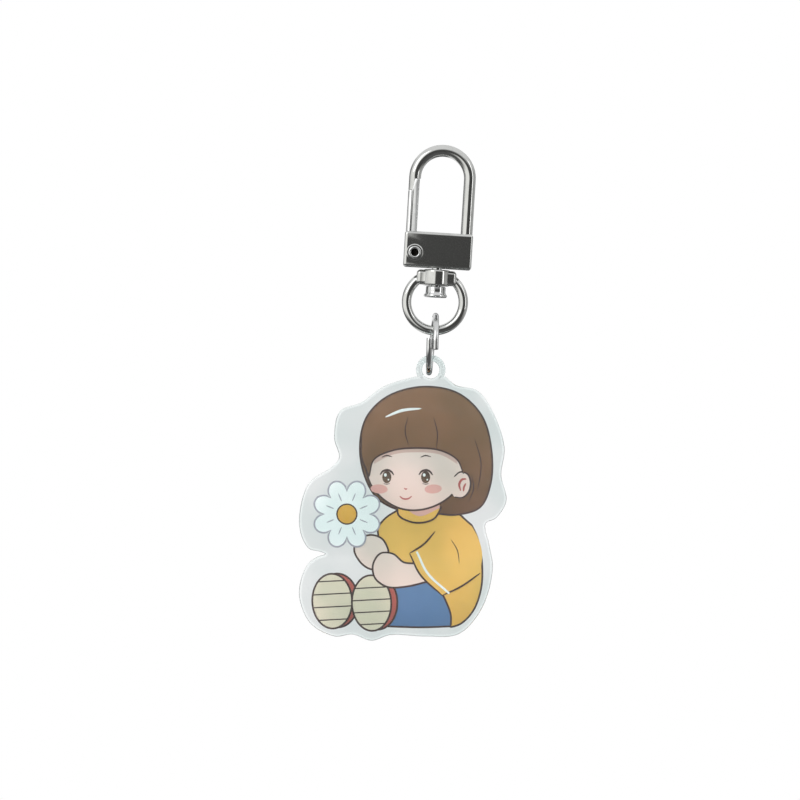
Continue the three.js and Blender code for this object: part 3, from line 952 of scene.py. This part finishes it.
def makeSwivelRing():
    steps = 120
    circle = []
    for i in range(steps):
        angle = 2 * math.pi * i / steps
        circle.append([ringRadius * math.cos(angle), 0, ringCentreZ + ringRadius * math.sin(angle)])
    ring = wirePiece("swivelRing", circle, swivel["ringWire"] / 2, castChrome, cyclic=True, sides=48)
    middle = (collarTop + collarBottom) / 2
    halfW, halfD = swivel["collarWidth"] / 2, swivel["collarDepth"] / 2
    halfH = swivel["collarHeight"] / 2 - swivel["shoulderTrim"]
    shoulders = roundedBox(
        "shoulders", (-halfW, -halfD, middle - halfH), (halfW, halfD, middle + halfH),
        swivel["shoulderEdge"], 6,
    )
    radius, edge = swivel["collarRadius"], swivel["barrelEdge"]
    barrelProfile = [[0.0, collarBottom]]
    for i in range(7):
        angle = math.radians(-90 + 15 * i)
        barrelProfile.append(
            [radius - edge + edge * math.cos(angle), collarBottom + edge + edge * math.sin(angle)]
        )
    barrelProfile += [[r, collarTop + collarBottom - z] for r, z in reversed(barrelProfile)]
    barrel = turnedPiece("barrel", barrelProfile, (0, 0, 0), "Z")
    wide = swivel["ringDiameter"]
    trim = roundedBox("trim", (-wide, -wide, collarTop), (wide, wide, collarTop + wide))
    bore = uprightRod("collarBore", swivel["neckRadius"] + swivel["gap"], collarBottom - 5, collarTop + 5)
    carve(
        ring, [("UNION", shoulders), ("UNION", barrel), ("DIFFERENCE", trim), ("DIFFERENCE", bore)],
        swivel["cutEdge"],
    )
    ring.data.materials.clear()
    ring.data.materials.append(castChrome)
    return place(ring, "swivel", "cast_chrome", "swivel_ring")


def makeJumpRing():
    sweep = 360 + jump["lap"]
    sideways = (jump["wire"] + jump["endGap"]) * sweep / 360
    radius = (jump["diameter"] - jump["wire"]) / 2
    steps = 150
    path = []
    for i in range(steps + 1):
        share = i / steps
        angle = math.radians(180 - jump["lap"] / 2 + sweep * share)
        path.append(
            [sideways * (share - 0.5), radius * math.cos(angle), jumpCentreZ + radius * math.sin(angle)]
        )
    piece = wirePiece("jumpRing", path, jump["wire"] / 2, platedSteel, sides=32)
    carve(piece, [], jump["endEdge"])
    return place(piece, "link", "plated_steel", "jump_ring")


makeClaspBody()
makeGate()
makePin()
makeSpring()
makeSwivelRivet()
makeSwivelRing()
makeJumpRing()
print("hook, swivel and rings made")


# The charm.

charm = {
    "thickness": 3.0, "tilt": -3.5, "holeRadius": 1.85, "tabWall": 1.25, "tabSink": 1.65, "edge": 0.65,
    "sharpAngle": 28.0,
}
cutLine = [
    [3.1, 0.0], [5.3, -1.8], [9.9, -3.0], [13.4, -8.0], [15.6, -15.1], [14.9, -20.8],
    [16.0, -26.2], [13.8, -29.9], [11.6, -31.1], [12.4, -35.6], [13.1, -40.6], [10.8, -49.0],
    [5.9, -54.4], [-1.2, -54.9], [-8.5, -54.6], [-12.5, -55.8], [-16.5, -54.5], [-20.3, -54.9],
    [-25.4, -52.2], [-27.8, -46.6], [-27.2, -42.0], [-25.8, -39.4], [-23.9, -38.1], [-22.3, -37.5],
    [-23.8, -36.9], [-25.7, -36.4], [-27.3, -33.8], [-27.8, -29.6],
    [-25.8, -22.5], [-21.1, -19.2], [-19.4, -17.1], [-20.4, -13.0], [-19.2, -7.3], [-14.8, -5.5],
    [-10.0, -2.1], [-4.1, -0.2], [-3.1, 0.0],
]
tabRadius = charm["holeRadius"] + charm["tabWall"]
neckZ = charm["tabSink"] - tabRadius
jumpRadius = (jump["diameter"] - jump["wire"]) / 2
holeCentreZ = jumpCentreZ - jumpRadius + (charm["holeRadius"] - jump["wire"] / 2) / 2
charmTurn = Matrix.Rotation(math.radians(charm["tilt"]), 4, "Y")
charmPlace = Matrix.Translation((0, 0, holeCentreZ * mm)) @ charmTurn


def onCharm(piece):
    # Moves a mesh drawn round the tab hole to the charm's place.
    piece.data.transform(charmPlace)
    piece.data.update()
    return piece


def fromNeck(outline):
    return [[x, z + neckZ] for x, z in outline]


def makePlate():
    body = fromNeck(smoothRun(cutLine, 9))
    neckX = math.sqrt(tabRadius ** 2 - neckZ ** 2)
    start = math.degrees(math.atan2(neckZ, -neckX))
    finish = math.degrees(math.atan2(neckZ, neckX)) - 360
    tab = []
    for i in range(57):
        angle = math.radians(start + (finish - start + 360 * (start < finish)) * i / 56)
        tab.append([tabRadius * math.cos(angle), tabRadius * math.sin(angle)])
    curve = bpy.data.curves.new("plate", "CURVE")
    curve.dimensions = "2D"
    curve.fill_mode = "BOTH"
    for outline in (body + tab, ellipse((0, 0), (charm["holeRadius"], charm["holeRadius"]), 0, 64)):
        spline = curve.splines.new("POLY")
        spline.points.add(len(outline) - 1)
        for target, (x, z) in zip(spline.points, outline):
            target.co = (x * mm, z * mm, 0.0, 1.0)
        spline.use_cyclic_u = True
    curve.extrude = (charm["thickness"] / 2 - charm["edge"]) * mm
    curve.bevel_depth = charm["edge"] * mm
    curve.bevel_resolution = 5
    curve.offset = -charm["edge"] * mm
    raw = addObject("acrylicPlate", curve)
    piece = settle(raw)
    piece.data.transform(Matrix.Rotation(math.pi / 2, 4, "X"))
    work = bmesh.new()
    work.from_mesh(piece.data)
    bmesh.ops.remove_doubles(work, verts=work.verts, dist=1e-6)
    bmesh.ops.recalc_face_normals(work, faces=work.faces)
    work.to_mesh(piece.data)
    work.free()
    smoothShade(piece.data, charm["sharpAngle"])
    piece.data.materials.clear()
    piece.data.materials.append(clearAcrylic)
    onCharm(piece)
    return place(piece, "charm", "clear_acrylic", "acrylic_plate")


makePlate()
print("plate made")


# Inks.

def heights(low, high):
    # Two heights below the neck as heights in the frame.
    return (holeCentreZ + neckZ + low) * mm, (holeCentreZ + neckZ + high) * mm


# Each ink's colours from the bottom to the top of a range of heights below the neck.
inkTable = {
    "hair": ([(104, 72, 52), (128, 92, 66), (146, 106, 78)], -31, -2),
    "skin": ([(240, 214, 204), (242, 222, 214)], -44, -30),
    "face": ([(240, 210, 200), (242, 220, 212)], -28, -15),
    "shade": ([(222, 188, 178), (214, 178, 168)], -24, -12),
    "blush": ([(232, 172, 164), (232, 180, 172)], -25, -20),
    "rose": ([(224, 176, 166), (220, 170, 160)], -44, -26),
    "mouth": ([(196, 104, 98), (190, 98, 94)], -44, -20),
    "shirt": ([(226, 172, 84), (238, 190, 100), (232, 182, 92)], -53, -28),
    "trouser": ([(88, 118, 160), (98, 130, 172)], -53, -44),
    "sole": ([(222, 208, 186), (230, 216, 194)], -53, -42),
    "shoe": ([(170, 84, 76), (182, 94, 84)], -53, -42),
    "petal": ([(250, 250, 252), (255, 255, 255)], -37, -21),
    "petalLine": ([(170, 164, 176), (178, 172, 184)], -37, -21),
    "pollen": ([(232, 170, 70), (240, 184, 84)], -33, -25),
    "line": ([(70, 50, 48), (82, 60, 56)], -53, -2),
    "pale": ([(236, 240, 240), (242, 244, 244)], -53, -2),
    "eye": ([(104, 78, 60), (56, 42, 40)], -22.4, -19.4),
    "white": ([(236, 238, 236), (241, 242, 240)], -53, -2),
}


def makeInk(key):
    colours, low, high = inkTable[key]
    stops = [(index / (len(colours) - 1), colour) for index, colour in enumerate(colours)]
    return inkMaterial(key + "Ink", stops, *heights(low, high))


inks = {key + "Ink": makeInk(key) for key in inkTable}

# The picture is drawn in layers behind the plate: a lower layer number lies nearer to the viewer.
backing = {"front": 1.735, "spacing": 0.002, "thickness": 0.04}
layers = {
    "front": 1.53, "spacing": 0.012, "fill": 0.004, "line": 0.004, "lineLead": 0.006, "lineWidth": 0.4,
}
patches = {key: [] for key in inks}


def depthOf(layer):
    return layers["front"] + layers["spacing"] * layer


def fillPatch(ink, outline, layer):
    front = depthOf(layer)
    patches[ink].append(prismData(fromNeck(outline), front, front + layers["fill"]))


def ribbonData(line, widths, front, back, closed):
    # A flat band along a line, as points and faces of a closed solid.
    count = len(line)
    left, right = [], []
    for i in range(count):
        before = line[i - 1] if closed or i else line[i]
        after = line[(i + 1) % count] if closed or i < count - 1 else line[i]
        dx, dz = after[0] - before[0], after[1] - before[1]
        size = math.hypot(dx, dz) or 1.0
        across = (-dz / size * widths[i] / 2, dx / size * widths[i] / 2)
        left.append([line[i][0] + across[0], line[i][1] + across[1]])
        right.append([line[i][0] - across[0], line[i][1] - across[1]])
    points = [[x, y, z] for y in (front, back) for side in (left, right) for x, z in side]
    faces = []
    for i in range(count if closed else count - 1):
        j = (i + 1) % count
        faces.append([i, j, j + count, i + count])
        faces.append([i + 2 * count, i + 3 * count, j + 3 * count, j + 2 * count])
        faces.append([i, i + 2 * count, j + 2 * count, j])
        faces.append([i + count, j + count, j + 3 * count, i + 3 * count])
    if not closed:
        end = count - 1
        faces.append([0, count, 3 * count, 2 * count])
        faces.append([end, end + 2 * count, end + 3 * count, end + count])
    return points, faces


def stroke(ink, points, layer, width=None, taper=0.35, closed=False):
    # An open line is smoothed and thins towards its ends; a closed one keeps its points and width.
    line = fromNeck(points if closed else smoothRun(points))
    count = len(line)
    base = width or layers["lineWidth"]
    widths = [base] * count
    if not closed:
        widths = [
            base * (taper + (1 - taper) * math.sin(math.pi * i / (count - 1)) ** 0.5) for i in range(count)
        ]
    front = depthOf(layer) - layers["lineLead"]
    patches[ink].append(ribbonData(line, widths, front, front + layers["line"], closed))


def shape(ink, outline, layer, lineInk="lineInk", width=None):
    fillPatch(ink, outline, layer)
    stroke(lineInk, outline, layer, width, closed=True)


flower = {"centre": (-17.7, -29.1), "radius": 7.3, "petals": 8, "notch": 0.34, "eye": 2.1}


def drawFlower(layer):
    # A plain flower with round petals.
    outline = []
    steps = flower["petals"] * 16
    for i in range(steps):
        angle = 2 * math.pi * i / steps
        wave = abs(math.sin(flower["petals"] * angle / 2)) ** 0.6
        radius = flower["radius"] * (1 - flower["notch"] * (1 - wave))
        outline.append(
            [flower["centre"][0] + radius * math.cos(angle), flower["centre"][1] + radius * math.sin(angle)]
        )
    shape("petalInk", outline, layer, "petalLineInk", 0.36)
    shape(
        "pollenInk", ellipse(flower["centre"], (flower["eye"], flower["eye"])), layer - 0.5, "lineInk", 0.3,
    )
    return outline


def drawFringe(layer):
    edge = [[-12.0, -17.6], [-8.0, -15.6], [-3.0, -15.1], [2.0, -15.6], [5.6, -17.6], [6.9, -20.6]]
    side = [[-14.6, -12.4], [-14.6, -17.0], [-13.0, -21.2]]
    fillPatch(
        "hairInk",
        cornered(side, edge, [[8.2, -16.0], [7.4, -9.0], [2.0, -5.0], [-5.0, -4.6], [-11.0, -6.8]]), layer,
    )
    fillPatch(
        "shadeInk", cornered([[x, z - 0.9] for x, z in edge[:5]], [[5.4, -14.4]], [[-11.6, -14.4]]),
        layer + 1.6,
    )
    stroke("lineInk", side, layer, taper=0.4)
    stroke("lineInk", [side[-1], *edge], layer, taper=0.5)
    for strand in ([[-4.6, -14.6], [-5.4, -11.6], [-4.8, -8.4]], [[1.2, -15.2], [1.4, -12.0], [0.6, -8.6]]):
        stroke("lineInk", strand, layer, 0.26, taper=0.1)
    stroke("paleInk", [[-9.6, -8.6], [-6.0, -7.2], [-2.0, -6.8]], layer, 0.6, taper=0.15)


face = {"middle": -5.2, "eyeGap": 8.2, "eyeHeight": -21.3, "eyeSize": (0.95, 1.3), "blushSize": (1.8, 0.95)}


def drawFace(layer):
    outline = cornered(
        [
            [-13.4, -14.0], [-13.7, -18.6], [-12.8, -22.6], [-10.2, -25.8], [-6.4, -27.9], [-2.4, -28.2],
            [1.8, -26.9],
            [5.2, -24.2], [6.8, -20.6], [6.6, -14.0],
        ],
        [[-3.0, -10.5]],
    )
    shape("faceInk", outline, layer + 2)
    for side in (-1, 1):
        x, z = face["middle"] + side * face["eyeGap"] / 2, face["eyeHeight"]
        fillPatch("blushInk", ellipse((x + side * 1.6, z - 2.5), face["blushSize"], 4 * side), layer + 1)
        fillPatch("eyeInk", ellipse((x, z), face["eyeSize"]), layer + 0.8)
        lid = [
            [x - 1.45, z + 0.45], [x - 0.8, z + 1.25], [x + 0.2, z + 1.5], [x + 1.0, z + 1.1],
            [x + 1.5, z + 0.4],
        ]
        stroke("lineInk", lid, layer + 0.6, 0.46, taper=0.2)
        stroke(
            "lineInk", [[x - 0.7, z - 1.35], [x, z - 1.5], [x + 0.7, z - 1.35]], layer + 0.6, 0.16,
            taper=0.2,
        )
        fillPatch("paleInk", ellipse((x - 0.3, z + 0.45), (0.3, 0.36)), layer)
        fillPatch("paleInk", ellipse((x + 0.35, z - 0.55), (0.16, 0.18)), layer)
        stroke("lineInk", [[x - 1.1, z + 4.2], [x, z + 4.6], [x + 1.2, z + 4.3]], 1.9, 0.28, taper=0.15)
    x = face["middle"]
    stroke("mouthInk", [[x - 0.45, -23.6], [x - 0.1, -23.85], [x + 0.25, -23.7]], layer + 0.6, 0.26)
    stroke(
        "mouthInk", [[x - 1.4, -25.3], [x - 0.6, -25.85], [x + 0.4, -25.85], [x + 1.2, -25.3]], layer + 0.6,
        0.34, taper=0.3,
    )
    rim = [[4.9, -21.2], [6.2, -20.2], [7.7, -20.6], [8.4, -22.3], [8.0, -24.4], [6.7, -25.6], [5.0, -25.5]]
    fillPatch("faceInk", cornered(rim, [[4.2, -24.4]], [[4.2, -22.4]]), layer + 1)
    stroke("lineInk", rim, layer + 1, taper=0.5)
    stroke("mouthInk", [[7.5, -21.7], [6.6, -21.8], [6.0, -22.8], [6.3, -24.2]], layer, 0.5, taper=0.3)
    stroke("mouthInk", [[7.4, -22.6], [7.0, -23.4], [6.9, -24.3]], layer, 0.42, taper=0.3)
    neck = cornered(
        [[-5.8, -27.6], [-2.4, -29.5], [1.9, -27.8]], [[1.6, -26.4], [-2.4, -27.4], [-5.4, -26.8]],
    )
    fillPatch("roseInk", neck, layer + 2.2)


def drawHair(layer):
    # A plain rounded bob.
    outline = smoothRing([
        [-14.9, -14.0], [-13.4, -8.4], [-9.0, -4.2], [-1.6, -2.2], [5.8, -3.6], [10.8, -8.4], [12.8, -15.6],
        [12.6, -22.8], [10.4, -27.6], [5.4, -29.2], [0.0, -28.8], [-6.0, -28.4], [-11.0, -26.0],
        [-14.0, -21.0],
    ])
    shape("hairInk", outline, layer + 1)
    for strand in ([[9.2, -13.0], [10.6, -18.4], [9.8, -24.6]], [[8.6, -20.6], [9.0, -23.8], [7.8, -26.8]]):
        stroke("lineInk", strand, layer, 0.26, taper=0.1)
    return outline


def drawClothes(layer):
    collar = cornered(
        [[-7.1, -27.6], [-6.7, -29.4], [-3.2, -30.9], [0.6, -30.1], [2.3, -27.6]], [[-2.4, -28.6]],
    )
    shape("shirtInk", collar, layer)
    shoulder = [[0.9, -32.8], [-1.4, -35.4], [-4.5, -37.4]]
    opening = [[-4.5, -37.4], [-2.2, -42.0], [2.4, -46.3]]
    under = [[2.4, -46.3], [6.4, -44.4], [10.4, -41.6]]
    sleeve = cornered(
        shoulder, opening[1:], under[1:], [[10.8, -37.4], [9.9, -34.0], [8.6, -31.6]], [[5.0, -31.6]],
    )
    fillPatch("shirtInk", sleeve, layer + 1)
    for line in (shoulder, opening, under):
        stroke("lineInk", line, layer + 1, taper=0.4)
    stroke("paleInk", [[x + 1.5, z + 0.4] for x, z in opening], layer + 0.4, 0.5, taper=0.8)
    stroke("lineInk", [[4.2, -34.4], [5.6, -36.8], [6.0, -39.6]], layer + 0.4, 0.2, taper=0.1)
    return sleeve


def drawHands(layer):
    near = cornered(
        [
            [-3.4, -39.6], [-5.8, -39.3], [-8.0, -37.5], [-10.6, -37.4], [-12.2, -39.8], [-11.8, -42.6],
            [-9.2, -44.5],
            [-5.0, -44.4], [-0.4, -43.3],
        ],
        [[-2.2, -41.4]],
    )
    shape("skinInk", near, layer)
    far = smoothRing([
        [-16.2, -36.4], [-15.0, -39.2], [-12.6, -40.8], [-9.8, -40.4], [-8.9, -37.4], [-10.2, -34.4],
        [-12.6, -33.5],
        [-15.2, -34.4],
    ])
    shape("skinInk", far, layer + 1)
    return near, far


soles = (((-12.5, -47.9), (4.15, 5.85), 9.5), ((-20.8, -47.5), (4.2, 5.75), 11.5))


def drawLegs(layer):
    sides = []
    for centre, radii, base in soles:
        shape("soleInk", ellipse(centre, radii, 2), base)
        wall = ellipse((centre[0] + 1.15, centre[1] + 0.15), (radii[0] + 0.15, radii[1] - 0.1), 2)
        shape("shoeInk", wall, base + 1)
        sides.append(wall)
    trousers = cornered(
        [[-8.6, -43.6], [-4.4, -43.8], [-0.6, -43.0]], [
            [2.0, -45.4], [3.2, -47.6], [4.2, -50.4], [4.2, -52.8],
        ],
        [[-2.0, -53.0], [-9.4, -52.8]], [[-8.6, -48.0]],
    )
    shape("trouserInk", trousers, layer + 4)
    body = cornered(
        [[-6.9, -28.2], [-9.4, -29.8], [-11.3, -31.9]], [
            [-10.9, -34.4], [-9.4, -37.6], [-6.6, -39.6], [-3.4, -40.2],
        ],
        [[-1.0, -43.2], [2.0, -46.0]], [[2.6, -47.4], [3.6, -50.0], [4.2, -53.0]],
        [
            [6.4, -52.2], [9.0, -49.4], [10.6, -44.8], [10.8, -39.6], [9.9, -34.4], [8.6, -31.4],
        ], [[4.8, -28.4], [-2.6, -28.0]],
    )
    shape("shirtInk", body, layer + 5)
    return sides, trousers, body


flowerOutline = drawFlower(1)
drawFringe(2)
drawFace(3)
sleeve = drawClothes(6)
near, far = drawHands(8)
hair = drawHair(9)
walls, trousers, body = drawLegs(9.5)


def inkPiece(ink, data):
    piece = meshObject(ink.replace("Ink", "Print"), *together(data), inks[ink])
    onCharm(piece)
    return place(piece, "charm", "colour_ink", "colour_print")


for ink, data in patches.items():
    if data:
        inkPiece(ink, data)
print("picture drawn")


def charmPoint(x, z, depth):
    # A point of the picture in metres, before the charm's place is applied.
    return (x * mm, depth * mm, (z + neckZ) * mm)


petalLines = {
    "Count": 8, "Inner Radius": 2.9, "Length": 1.9, "Length Spread": 0.1, "Width": 0.26,
    "Turn": math.pi / 8, "Seed": 3,
}


def makePetalLines():
    sizes = {key: petalLines[key] * mm for key in ("Inner Radius", "Length", "Width")}
    settings = {**petalLines, **sizes, "Thickness": layers["line"] * mm, "Material": inks["petalLineInk"]}
    settings["Centre"] = charmPoint(*flower["centre"], depthOf(1) - layers["lineLead"] + layers["line"] / 2)
    piece = joined(
        "petalLines", [runTree(emptyMesh("petalLineRays"), burstTree, settings)], inks["petalLineInk"],
    )
    onCharm(piece)
    return place(piece, "charm", "colour_ink")


treads = {"count": 4, "lineWidth": 0.26, "tilt": -3.0, "spacings": (2.55, 2.7), "lifts": (-0.6, 0.15)}


def makeTreads():
    made = []
    for index, (centre, radii, layer) in enumerate(soles):
        settings = {
            "Count": treads["count"], "Half Width": radii[0] * mm, "Half Height": radii[1] * mm,
            "Line Width": treads["lineWidth"] * mm,
            "Thickness": layers["line"] * mm, "Tilt": math.radians(treads["tilt"]),
            "Material": inks["lineInk"],
            "Spacing": treads["spacings"][index] * mm, "Lift": treads["lifts"][index] * mm,
        }
        settings["Centre"] = charmPoint(*centre, depthOf(layer) - layers["lineLead"] + layers["line"] / 2)
        made.append(runTree(emptyMesh("treads" + str(index)), treadTree, settings))
    piece = joined("treadPrint", made, inks["lineInk"])
    onCharm(piece)
    return place(piece, "charm", "colour_ink")


def makeWhiteBacking():
    # White ink stands behind every large filled shape.
    data = []
    soleOutlines = [ellipse(centre, radii, 2) for centre, radii, layer in soles]
    for index, outline in enumerate(
        [hair, body, sleeve, near, far, trousers, flowerOutline, *walls, *soleOutlines]
    ):
        front = backing["front"] + backing["spacing"] * index
        data.append(prismData(fromNeck(outline), front, front + backing["thickness"]))
    piece = meshObject("whiteBacking", *together(data), inks["whiteInk"])
    onCharm(piece)
    return place(piece, "charm", "white_ink", "white_backing")


makePetalLines()
makeTreads()
makeWhiteBacking()
print("petal lines, treads and white backing made")


# Room, light and camera.

studio = {
    "aboveLevel": 0.8, "belowLevel": 0.1, "frontTint": (1.0, 0.995, 0.97), "ambient": 1.0,
    "throughLevel": 1.75, "floorDrop": 0.30, "floorSize": 2.4,
}
keyLights = [
    {"name": "keyLeft", "place": (-0.45, -0.55, 0.35), "size": (0.35, 0.5), "power": 0.8},
    {"name": "keyRight", "place": (0.6, -0.35, 0.15), "size": (0.12, 0.6), "power": 0.4},
]
# Brightness of the room as metal reflects it, by how far to the right a direction points.
frontCards = [(-1.0, 0.85), (-0.9, 1.0), (-0.24, 1.0), (-0.1, 0.07), (0.7, 0.055), (0.86, 0.3), (1.0, 0.42)]
backCards = [
    (-1.0, 0.85), (-0.93, 0.4), (-0.84, 0.1), (-0.55, 0.2), (-0.45, 0.95), (-0.24, 0.95), (-0.1, 0.12),
    (0.35, 0.1), (0.55, 0.5), (1.0, 0.42),
]
# Brightness of the room as the acrylic shows it, by how far back a direction points.
throughCards = [
    (-1.0, 0.46), (-0.99, 0.48), (-0.95, 0.9), (-0.88, 1.0), (-0.2, 1.0), (0.1, 0.2), (0.55, 0.1),
    (0.82, 0.2), (0.93, 0.56), (0.985, 0.5), (1.0, 0.455),
]
camera = {"distance": 0.9, "frameWidth": 0.1692, "right": -6.5, "up": -6.4}


def cardRamp(tree, value, cards, tint=(1.0, 1.0, 1.0)):
    ramp = addNode(tree, "ShaderNodeValToRGB")
    tree.links.new(mapRange(tree, value, -1.0, 1.0, 0.0, 1.0), ramp.inputs["Fac"])
    elements = ramp.color_ramp.elements
    while len(elements) < len(cards):
        elements.new(0.5)
    for element, (place, level) in zip(elements, cards):
        element.position = (place + 1) / 2
        element.color = (*[level * t for t in tint], 1)
    return ramp.outputs["Color"]


def mixColour(tree, factor, first, second):
    mix = addNode(tree, "ShaderNodeMix", data_type="RGBA")
    tree.links.new(factor, mix.inputs["Factor"])
    for socket, value in (("A", first), ("B", second)):
        if hasattr(value, "is_output"):
            tree.links.new(value, mix.inputs[socket])
        else:
            mix.inputs[socket].default_value = (*[value] * 3, 1)
    return mix.outputs["Result"]


def makeWorld():
    world = bpy.data.worlds.new("studio")
    bpy.context.scene.world = world
    world.use_nodes = True
    tree = world.node_tree
    plain = tree.nodes["Background"]
    plain.inputs["Color"].default_value = (1, 1, 1, 1)
    plain.inputs["Strength"].default_value = studio["ambient"]
    split = addNode(tree, "ShaderNodeSeparateXYZ")
    tree.links.new(addNode(tree, "ShaderNodeTexCoord").outputs["Generated"], split.inputs[0])
    across, back, high = split.outputs
    front = cardRamp(tree, across, frontCards, studio["frontTint"])
    behind = cardRamp(tree, across, backCards)
    around = mixColour(tree, mapRange(tree, back, -0.1, 0.1, 0.0, 1.0), front, behind)
    around = mixColour(tree, mapRange(tree, high, 0.25, 0.6, 0.0, 1.0), around, studio["aboveLevel"])
    below = mathNode(
        tree, "MULTIPLY", mapRange(tree, high, -0.25, -0.6, 0.0, 1.0),
        mapRange(tree, back, 0.5, 0.0, 0.0, 1.0),
    )
    around = mixColour(tree, below, around, studio["belowLevel"])
    reflected = addNode(tree, "ShaderNodeBackground")
    tree.links.new(around, reflected.inputs["Color"])
    through = addNode(tree, "ShaderNodeBackground")
    through.inputs["Strength"].default_value = studio["throughLevel"]
    tree.links.new(cardRamp(tree, back, throughCards), through.inputs["Color"])
    path = addNode(tree, "ShaderNodeLightPath")
    shown = plain.outputs["Background"]
    for ray, background in (("Is Glossy Ray", reflected), ("Is Transmission Ray", through)):
        mix = addNode(tree, "ShaderNodeMixShader")
        tree.links.new(path.outputs[ray], mix.inputs["Fac"])
        tree.links.new(shown, mix.inputs[1])
        tree.links.new(background.outputs["Background"], mix.inputs[2])
        shown = mix.outputs["Shader"]
    tree.links.new(shown, tree.nodes["World Output"].inputs["Surface"])


def makeFloor():
    low = cadBox[0][2] - studio["floorDrop"]
    half = studio["floorSize"] / 2
    mesh = bpy.data.meshes.new("floor")
    mesh.from_pydata(
        [(-half, -half, low), (half, -half, low), (half, half, low), (-half, half, low)], [],
        [(0, 1, 2, 3)],
    )
    floor = addObject("floor", mesh)
    material, tree, shader, coords = newMaterial("paleFloor")
    ramp = addNode(tree, "ShaderNodeValToRGB")
    tree.links.new(noiseNode(tree, coords, 30.0), ramp.inputs["Fac"])
    ramp.color_ramp.elements[0].color = linear((240, 240, 239))
    ramp.color_ramp.elements[1].color = linear((246, 246, 245))
    tree.links.new(ramp.outputs["Color"], shader.inputs["Base Color"])
    shader.inputs["Roughness"].default_value = 0.8
    mesh.materials.append(material)
    floor.visible_glossy = False  # metal reflects the dark card under the hook instead


def makeLights():
    middle = Vector((0, 0, (cadBox[0][2] + cadBox[1][2]) / 2))
    for values in keyLights:
        lamp = bpy.data.lights.new(values["name"], "AREA")
        lamp.shape = "RECTANGLE"
        lamp.size, lamp.size_y = values["size"]
        lamp.energy = values["power"]
        holder = bpy.data.objects.new(values["name"], lamp)
        holder.location = values["place"]
        holder.rotation_euler = (middle - holder.location).to_track_quat("-Z", "Y").to_euler()
        bpy.context.scene.collection.objects.link(holder)


def makeCamera():
    lens = bpy.data.cameras.new("camera")
    lens.sensor_width = 36.0
    lens.lens = lens.sensor_width * camera["distance"] / camera["frameWidth"]
    lens.clip_start = 0.01
    holder = bpy.data.objects.new("camera", lens)
    turn = math.radians(-charm["tilt"])
    right = Vector((math.cos(turn), 0, math.sin(turn)))
    up = Vector((-math.sin(turn), 0, math.cos(turn)))
    back = Vector((0, -1, 0))
    aim = Vector((0, 0, holeCentreZ * mm)) + right * camera["right"] * mm + up * camera["up"] * mm
    matrix = Matrix((right, up, back)).transposed().to_4x4()
    matrix.translation = aim + back * camera["distance"]
    holder.matrix_world = matrix
    bpy.context.scene.collection.objects.link(holder)
    bpy.context.scene.camera = holder


makeWorld()
makeFloor()
makeLights()
makeCamera()
bpy.context.scene.view_settings.view_transform = "Standard"
print("studio made")
